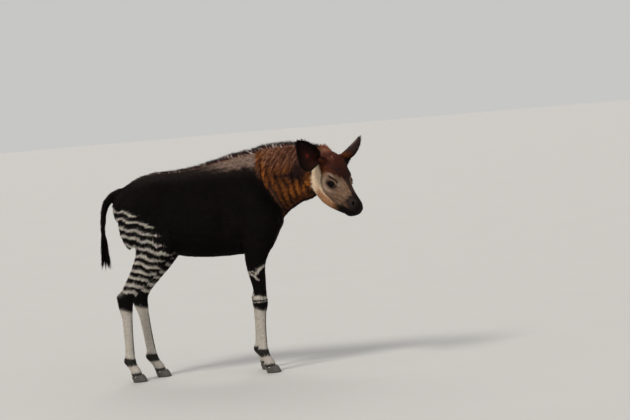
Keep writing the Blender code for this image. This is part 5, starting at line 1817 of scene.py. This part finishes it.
class CoatOperator(bpy.types.Operator):
    """Grows the short coat over the skin, region by region"""

    bl_idname = "okapi.coat"
    bl_label = "Coat"

    def execute(self, context):
        """Makes the pieces and puts them on the body."""
        coat = context.scene.okapi_coat
        skin = bare_skin()
        middles = gathered(skin.polygons, "center", 3)
        head = in_head(middles)
        on_head = head_share(middles, head) > 0.5
        x, _, z = middles.T
        low = z < SHANK_TOP
        rest = ~on_head & ~low
        upper = z > NECK_FOOT
        neck = (x > NECK_START) & upper
        behind = x <= BARREL_END
        regions = {
            "coat_face": on_head & (head[:, 0] > 0.15),
            "coat_crown": on_head & (head[:, 0] <= 0.15),
            "coat_neck": rest & neck,
            "coat_shoulders": rest & (x > SHOULDERS_END) & ~neck,
            "coat_barrel": rest & (x <= SHOULDERS_END) & ~behind,
            "coat_rump": rest & behind & upper,
            "coat_thighs": rest & behind & ~upper,
            "coat_forelegs": low & ~on_head & (x > FOREPARTS_END),
            "coat_hind_shanks": low & ~on_head & (x <= FOREPARTS_END),
        }
        growth = gathered(skin.attributes["growth"].data, "value")
        corners = gathered(skin.polygons, "vertices", 3, int)
        expected = growth[corners].mean(axis=1) * gathered(skin.polygons, "area")
        tuft = short_tuft()
        shades = ([0.0, 0.42, 1.0], [0.72, 1.0, 1.16])
        for seed, (name, keep) in enumerate(regions.items()):
            want = expected[keep].sum() * coat.thickness
            thickness = coat.thickness * min(1.0, REGION_TUFTS / want)
            mesh = scattered(name, part_of_mesh(skin, keep), tuft, thickness, coat.spread, coat.lift, seed)
            roots = tuft_roots(mesh, tuft)
            finish_tufts(mesh, tuft, paint(roots, coat), unwrapped(roots), shades, seed, 0.19)
            worn_by(mesh, hair(), name, ())
        return {"FINISHED"}


def ear_shell(hand, coat):
    """One ear's thin wall, open along its front, with what its coat needs stored on it."""
    place = ear_frame(hand)
    rows = spline(EAR_SHAPE, 7)
    columns = 44
    points, colours, lies, sizes, growths = ({0: [], 1: []} for _ in range(5))
    rng = np.random.default_rng(5)
    wander = rng.uniform(0, 6, 4)
    for share, half_width, wrap, bend in rows:
        share = float(np.clip(share, 0, 1))
        row = (share, half_width, wrap, -hand * bend)
        for k in range(columns + 1):
            across = 2 * k / columns - 1
            thin = EAR_WALL * (1 - 0.5 * share) * (1 - 0.45 * abs(across) ** 3)
            ridge = EAR_RIDGE * math.sin(math.pi * share) * math.cos(across * 9.0 + wander[0]) * (1 - across**4)
            inset = (EAR_COAT, max(thin - 0.0004, 0.0022) + max(ridge, -0.0005))
            out = Vector(place[1]) * 0.9 + Vector(place[2]) * (0.55 * across)
            rim = max(abs(across), share)
            for inner in (0, 1):
                points[inner].append(ear_point(place, row, across, inset[inner]))
                lies[inner].append(out + Vector(place[3]) * (0.25 if inner else 0.0))
                sizes[inner].append(0.0055 + 0.003 * rim**3 if inner else 0.0075 + 0.0085 * rim**3)
                growths[inner].append(0.25 + 0.75 * smooth(0.55, 0.95, rim) if inner else 1.0)
                colours[inner].append(ear_colour(hand, share, across, inner, coat))
    offset = len(points[0])
    wide = columns + 1
    faces = []
    for row in range(len(rows) - 1):
        for k in range(columns):
            a = row * wide + k
            faces.append((a, a + 1, a + wide + 1, a + wide))
            faces.append((a + wide + offset, a + wide + 1 + offset, a + 1 + offset, a + offset))
    rim = list(range(wide))
    rim += [row * wide + columns for row in range(1, len(rows))]
    rim += [(len(rows) - 1) * wide + k for k in range(columns - 1, -1, -1)]
    rim += [row * wide for row in range(len(rows) - 2, 0, -1)]
    for a, b in zip(rim, rim[1:] + rim[:1]):
        faces.append((b, a, a + offset, b + offset))
    mesh = facing_out(mesh_from("ear", points[0] + points[1], faces))
    size = np.array(sizes[0] + sizes[1])
    breadth = tuft_breadth(size)
    store(
        mesh,
        coat_colour=with_alpha(np.array(colours[0] + colours[1])),
        lie=np.array([tuple(v) for v in lies[0] + lies[1]]),
        size=size,
        breadth=breadth,
        growth=np.array(growths[0] + growths[1]) * 1.7 / (size * breadth),
        roll=np.array([2 * (i % wide) / columns - 1 for i in range(offset)] * 2),
    )
    return mesh


def ear_colour(hand, share, across, inner, coat):
    """An ear's colour: near black at the rim; within, maroon and darker, its own dark hair and painted shade in
    the hollow; reddish in the middle and at the root; on its back, a pale patch of painted sheen towards the
    tip.
    """
    spot = np.array([[share, across]])
    # The inside of the hollow half as bright: dark hair with painted shade
    colour = np.array([coat.dusk]) * (0.5 if inner else 1.0)
    if inner:
        colour = over(colour, (0.03, 0.0065, 0.0045), 0.75 * blot(spot, (0.5, 0.0), (0.22, 0.42)))
        colour = over(colour, (0.16, 0.024, 0.018), 0.75 * blot(spot, (0.5, 0.05), (0.06, 0.11)))
        colour = over(colour, coat.maroon, 0.5 * blot(spot, (0.25, 0.0), (0.12, 0.6)))
    else:
        colour = over(colour, (0.024, 0.013, 0.011), np.array([0.9 * smooth(0.12, 0.35, share)]))
        # Painted sheen: a pale grey patch on the back of the ear towards the tip
        colour = over(colour, (0.26, 0.19, 0.165), 0.9 * blot(spot, (0.78, -0.25 * hand), (0.2, 0.22)))
        colour = over(colour, coat.patch, np.array([0.85 * smooth(0.34, 0.12, share)]))
    edge = smooth(0.8, 0.97, np.array([max(abs(across), share)]))
    return over(colour, coat.black, 0.85 * edge)[0]


class EarsOperator(bpy.types.Operator):
    """Builds both ears and the short hair on them"""

    bl_idname = "okapi.ears"
    bl_label = "Ears"

    def execute(self, context):
        """Makes the pieces and puts them on the body."""
        coat = context.scene.okapi_coat
        tuft = short_tuft()
        finish = material("ear_skin", coat_finish, "ear_skin", 0.62, 0.05, 80.0, 0.35)
        for name, hand in HANDS.items():
            shell = ear_shell(hand, coat)
            mesh = scattered("ear_coat", shell.copy(), tuft, 1.0, 0.28, 0.3, 31)
            size = len(tuft.vertices)
            colours = gathered(mesh.attributes["coat_colour"].data, "color", 4, np.float32)[::size, :3]
            root, axis = (np.array(v) for v in ear_frame(hand)[:2])
            along = (tuft_roots(mesh, tuft) - root) @ axis / EAR_LENGTH
            roll = gathered(mesh.attributes["roll"].data, "value")[::size]
            places = np.column_stack([0.05 + 0.9 * along, 0.5 + 0.45 * roll])
            shades = ([0.0, 0.42, 1.0], [0.75, 1.0, 1.2])
            finish_tufts(mesh, tuft, colours.astype(float), places, shades, 32, 0.2)
            shell.shade_smooth()
            worn_by(shell, finish, f"ear_shell_{name}", (f"ear_{name}",))
            worn_by(mesh, hair(), f"ear_hair_{name}", ())
        return {"FINISHED"}


class ManeOperator(bpy.types.Operator):
    """Grows the short mane from the poll along the neck and back"""

    bl_idname = "okapi.mane"
    bl_label = "Mane"

    def execute(self, context):
        """Makes the piece and puts it on the body."""
        look = context.scene.okapi_mane
        skin = bare_skin()
        tree = surface_of(skin)
        line = crest_line()
        gone = np.concatenate([[0], np.cumsum(np.linalg.norm(np.diff(line, axis=0), axis=1))])
        steps = np.arange(0.0, gone[-1], MANE_STEP)
        middle = np.column_stack([np.interp(steps, gone, line[:, k]) for k in range(3)])
        ahead = np.gradient(middle, axis=0)
        ahead /= np.linalg.norm(ahead, axis=1)[:, None]
        upward = np.cross((0.0, 1.0, 0.0), ahead)
        share = steps / gone[-1]
        level = np.where(share < 0.45, 1.0, 1.0 - 0.62 * (share - 0.45) / 0.55)
        level *= np.interp(share, [0, 0.03], [0.55, 1.0])
        level *= np.interp(share, [0.06, 0.1], [0.8, 1.0])
        lean = look.lean + 0.35 * np.clip(share - 0.4, 0, 1)
        strips = []
        for row, splay in MANE_ROWS:
            base = np.array([tree.find_nearest(Vector(p) + Vector((0, row, 0.01)))[0] for p in middle])
            lie = upward * np.cos(lean)[:, None] + ahead * np.sin(lean)[:, None] + np.array((0, splay, 0))
            lie /= np.linalg.norm(lie, axis=1)[:, None]
            size = look.height * level * (1.0 - 0.8 * abs(splay))
            stored = {"lie": lie, "size": size, "breadth": 0.0016 + 0.025 * size, "growth": np.ones(len(base))}
            strips.append(ribbon(base - upward * 0.006, upward * 0.005, stored))
        tuft = long_lock()
        base = joined("crest", strips)
        mesh = scattered("mane", base, tuft, MANE_GROWTH, 0.3, 0.0, 71)
        roots = tuft_roots(mesh, tuft)
        rng = np.random.default_rng(72)
        pale = rng.uniform(size=len(roots)) < 0.05 + 0.16 * (ripple(roots, 0.03, 74) > 0.4)
        colours = np.where(pale[:, None], np.array(look.pale), np.array(look.tip))
        poll = np.linalg.norm(in_head(roots) - (-0.008, 0.0, 0.098), axis=1) < 0.034
        poll &= rng.uniform(size=len(roots)) < 0.7
        colours[poll] = look.poll
        finish_tufts(mesh, tuft, colours, unwrapped(roots), ([0.0, 1.0], [1.0, 1.0]), 73, 0.2)
        redden(mesh, tuft, np.array(look.root), ~pale)
        worn_by(mesh, hair(), "mane", ())
        return {"FINISHED"}


def redden(mesh, tuft, colour, chosen):
    """Lays a colour over the roots of chosen locks."""
    layer = mesh.attributes["coat_colour"]
    values = gathered(layer.data, "color", 4, np.float32).reshape(-1, len(tuft.vertices), 4)
    along = gathered(tuft.vertices, "co", 3)[:, 0]
    share = np.interp(along, [0.0, 0.35, 0.65], [1.0, 0.55, 0.0])[None, :, None] * chosen[:, None, None]
    values[:, :, :3] = values[:, :, :3] * (1 - share) + colour * share
    layer.data.foreach_set("color", values.ravel())


class TailOperator(bpy.types.Operator):
    """Hangs the long locks round the end of the tail"""

    bl_idname = "okapi.tail"
    bl_label = "Tail tuft"

    def execute(self, context):
        """Makes the piece and puts it on the body."""
        look, coat = context.scene.okapi_mane, context.scene.okapi_coat
        x, low = TAIL[-1][:2]
        around, levels = 12, 6
        points, faces, lies, sizes = [], [], [], []
        for level in range(levels):
            z = low + 0.1 * (1 - level / 5) + 0.002
            for k in range(around):
                angle = 2 * math.pi * k / around
                out = Vector((math.cos(angle), math.sin(angle), 0))
                points.append(Vector((x, 0, z)) + out * 0.0065)
                lies.append(tuple(Vector((0, 0, -1)) + out * 0.05))
                sizes.append(look.tail_length * (0.55 + 0.4 * level / 5))
        for level in range(levels - 1):
            for k in range(around):
                a, b = level * around + k, level * around + (k + 1) % around
                faces.append((a, a + around, b + around, b))
        base = mesh_from("dock", points, faces)
        count = len(sizes)
        store(base, lie=lies, size=sizes, breadth=np.full(count, 0.0022), growth=np.ones(count))
        tuft = long_lock()
        mesh = scattered("tail_locks", base, tuft, TAIL_GROWTH, 0.1, 0.1, 81)
        roots = tuft_roots(mesh, tuft)
        colours = plain(np.array(coat.black) * 1.4, roots)
        finish_tufts(mesh, tuft, colours, unwrapped(roots), ([0.0, 1.0], [1.0, 1.3]), 82, 0.25)
        worn_by(mesh, hair(), "tail_locks", ())
        return {"FINISHED"}


class FaceHairOperator(bpy.types.Operator):
    """Adds the lashes of both eyes"""

    bl_idname = "okapi.face_hair"
    bl_label = "Lashes"

    def execute(self, context):
        """Makes the piece and puts it on the body."""
        coat = context.scene.okapi_coat
        strips = []
        for hand in HANDS.values():
            centre, turn = eye_frame(hand)
            rim, lie = [], []
            for k in range(13):
                angle = math.radians(18 + 144 * k / 12)
                x = math.cos(angle) * LID_HALF_WIDTH * 1.04
                y = abs(math.sin(angle)) ** LID_POINTEDNESS * LID_HALF_HEIGHT * 1.1
                z = math.sqrt(max((EYE_RADIUS + 0.0018) ** 2 - x * x - y * y, 1e-6))
                rim.append(tuple(centre + turn @ Vector((x, y, z))))
                lie.append(tuple((turn @ Vector((x * 14, 0.12 + y * 10, 1.0))).normalized()))
            rim = np.array(rim)
            back = np.array(turn @ Vector((0, 0, -0.0012)))
            size = np.full(len(rim), 0.0115)
            stored = {"lie": np.array(lie), "size": size, "breadth": size * 0.07, "growth": np.ones(len(rim))}
            strips.append(ribbon(rim, back, stored))
        tuft = long_lock()
        mesh = scattered("lashes", joined("rims", strips), tuft, LASH_GROWTH, 0.25, 0.0, 91)
        roots = tuft_roots(mesh, tuft)
        colours = plain(coat.lid, roots)
        finish_tufts(mesh, tuft, colours, unwrapped(roots), ([0.0, 1.0], [1.0, 1.0]), 92, 0.1)
        worn_by(mesh, hair(), "lashes", ())
        return {"FINISHED"}


class EyesOperator(bpy.types.Operator):
    """Builds both eyes, wet and dark, with a level pupil"""

    bl_idname = "okapi.eyes"
    bl_label = "Eyes"

    def execute(self, context):
        """Makes the pieces and puts them on the body."""
        for name, hand in HANDS.items():
            centre, turn = eye_frame(hand)
            mesh = ball("eye", centre, (EYE_RADIUS,) * 3, turn, 72, 48)
            points, _ = points_of(mesh)
            local = (points - np.array(centre)) @ np.array(turn)
            far = np.hypot(local[:, 0], local[:, 1])
            ahead = local[:, 2] > 0
            front = smooth(0.0145, 0.0, far) * ahead
            points = points + (points - np.array(centre)) * (0.035 * front)[:, None]
            set_points(mesh, points)
            iris = smooth(0.0138, 0.0122, far) * ahead
            pupil = smooth(1.15, 0.85, np.hypot(local[:, 0] / 0.0088, local[:, 1] / 0.005)) * ahead
            colour = over(plain(EYE_TONES[0], points), EYE_TONES[1], iris)
            colour = over(colour, EYE_TONES[2], pupil)
            store(mesh, coat_colour=with_alpha(colour))
            mesh.shade_smooth()
            worn_by(mesh, material("wet_eye", eye_finish), f"eyeball_{name}", (f"eye_{name}",))
        return {"FINISHED"}


class HoovesOperator(bpy.types.Operator):
    """Builds the two claws of each hoof"""

    bl_idname = "okapi.hooves"
    bl_label = "Hooves"

    def execute(self, context):
        """Makes the pieces and puts them on the body."""
        finish = material("horn", horn_finish)
        for foot, foot_x, foot_y in foot_places():
            for side, hand in HANDS.items():
                mesh = claw(foot_x, foot_y, hand)
                mesh.shade_smooth()
                mesh.set_sharp_from_angle(angle=math.radians(48))
                worn_by(mesh, finish, f"hoof_{foot}_{side}", (f"{foot}_claw_{side}",))
        return {"FINISHED"}


def claw(foot_x, foot_y, side):
    """One claw of a cloven hoof: side is 1 for the claw on the left of the foot's slot."""
    steps = 56
    levels = (
        (0.0, 0.975, 0.0),
        (0.02, 1.0, 0.0),
        (0.12, 1.03, 0.0),
        (0.35, 1.005, -0.003),
        (0.6, 0.965, -0.0065),
        (0.85, 0.905, -0.011),
        (0.97, 0.865, -0.0135),
        (1.0, 0.8, -0.014),
    )
    points = []
    for share, scale, back in levels:
        for k in range(steps):
            angle = 2 * math.pi * k / steps
            ahead = 0.5 * CLAW_LENGTH * scale * math.cos(angle) + back
            bulge = math.sin(angle)
            out = CLAW_WIDTH * scale * (1 - 0.22 * math.cos(angle))
            out *= abs(bulge) ** 0.85 if bulge > 0 else 0.12 * bulge
            x = foot_x + ahead + CLAW_AHEAD
            y = foot_y + side * (CLAW_SLOT / 2 + 0.0035 + out)
            points.append((x, y, share * (coronet(ahead) - GAP)))
    faces = [*bands(len(levels), steps), range(steps), range(len(points) - steps, len(points))]
    return facing_out(mesh_from("claw", points, faces))


class StageOperator(bpy.types.Operator):
    """Sets the pale floor, the soft light and the camera"""

    bl_idname = "okapi.stage"
    bl_label = "Stage"

    def execute(self, context):
        """Makes the floor, lights, background and camera."""
        look = context.scene.okapi_stage
        floor = ball("floor", (0, 0, -FLOOR_DEPTH), (FLOOR_REACH, FLOOR_REACH, FLOOR_DEPTH), None, 96, 12)
        floor.materials.append(floor_finish(look.floor))
        new_object("floor", floor)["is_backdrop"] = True
        world = bpy.data.worlds.new("air")
        world.use_nodes = True
        backdrop = world.node_tree.nodes["Background"]
        backdrop.inputs["Color"].default_value = (*look.air, 1)
        backdrop.inputs["Strength"].default_value = look.air_strength
        context.scene.world = world
        azimuth, elevation, roll = (math.radians(angle) for angle in VIEW_ANGLES)
        right = Vector((math.cos(azimuth), math.sin(azimuth), 0))
        aim = Vector(VIEW_AIM) + right * VIEW_SHIFT + CENTRING
        level = math.cos(elevation)
        away = Vector((math.sin(azimuth) * level, -math.cos(azimuth) * level, math.sin(elevation)))
        camera = new_object("camera", bpy.data.cameras.new("camera"))
        camera.data.lens = look.lens
        camera.data.sensor_width = SENSOR_WIDTH
        camera.matrix_world = frame_of(away, right).to_4x4() @ Matrix.Rotation(roll, 4, "Z")
        camera.location = aim + away * look.distance
        context.scene.camera = camera
        for name, place, soft, power, warm in (
            ("key", (-2.4, -3.4, 4.2), 17, look.key, (1.0, 0.96, 0.9)),
            ("fill", (4.0, -3.0, 1.8), 60, look.fill, (0.94, 0.97, 1.0)),
            ("back", (-0.8, 3.6, 3.4), 40, look.rim, (1.0, 0.98, 0.95)),
        ):
            lamp = new_object(name, bpy.data.lights.new(name, "SUN"))
            lamp.data.energy = power
            lamp.data.angle = math.radians(soft)
            lamp.data.color = warm
            lamp.rotation_euler = (-Vector(place)).to_track_quat("-Z", "Y").to_euler()
        context.scene.view_settings.view_transform = "Standard"
        return {"FINISHED"}


class OkapiPanel(bpy.types.Panel):
    """Lists the okapi's pieces and their sizes"""

    bl_idname = "VIEW3D_PT_okapi"
    bl_label = "Young okapi"
    bl_space_type = "VIEW_3D"
    bl_region_type = "UI"
    bl_category = "Okapi"

    def draw(self, context):
        """Shows each group of properties and each operator."""
        for group in ("okapi_body", "okapi_coat", "okapi_mane", "okapi_stage"):
            box = self.layout.box()
            values = getattr(context.scene, group)
            for name in values.__annotations__:
                box.prop(values, name)
        for operator in OPERATORS:
            self.layout.operator(operator.bl_idname)


OPERATORS = (
    SkinOperator,
    EyesOperator,
    EarsOperator,
    HoovesOperator,
    CoatOperator,
    ManeOperator,
    TailOperator,
    FaceHairOperator,
    StageOperator,
)
GROUPS = {
    "okapi_body": OkapiBody,
    "okapi_coat": OkapiCoat,
    "okapi_mane": OkapiMane,
    "okapi_stage": OkapiStage,
}


def register():
    """Registers the property groups, operators and panel."""
    for name, group in GROUPS.items():
        bpy.utils.register_class(group)
        setattr(bpy.types.Scene, name, PointerProperty(type=group))
    for kind in (*OPERATORS, OkapiPanel):
        bpy.utils.register_class(kind)


def unregister():
    """Takes them away again."""
    for kind in (OkapiPanel, *reversed(OPERATORS)):
        bpy.utils.unregister_class(kind)
    for name, group in GROUPS.items():
        delattr(bpy.types.Scene, name)
        bpy.utils.unregister_class(group)


def main():
    """Builds every piece in order."""
    register()
    bpy.ops.okapi.skin()
    bpy.ops.okapi.eyes()
    bpy.ops.okapi.ears()
    bpy.ops.okapi.hooves()
    bpy.ops.okapi.coat()
    bpy.ops.okapi.mane()
    bpy.ops.okapi.tail()
    bpy.ops.okapi.face_hair()
    bpy.ops.okapi.stage()
    boxes = {"solids": CAD_BOX, "dressed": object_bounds()}
    {name: [list(corner) for corner in box] for name, box in boxes.items()}


if __name__ == "__main__":
    main()
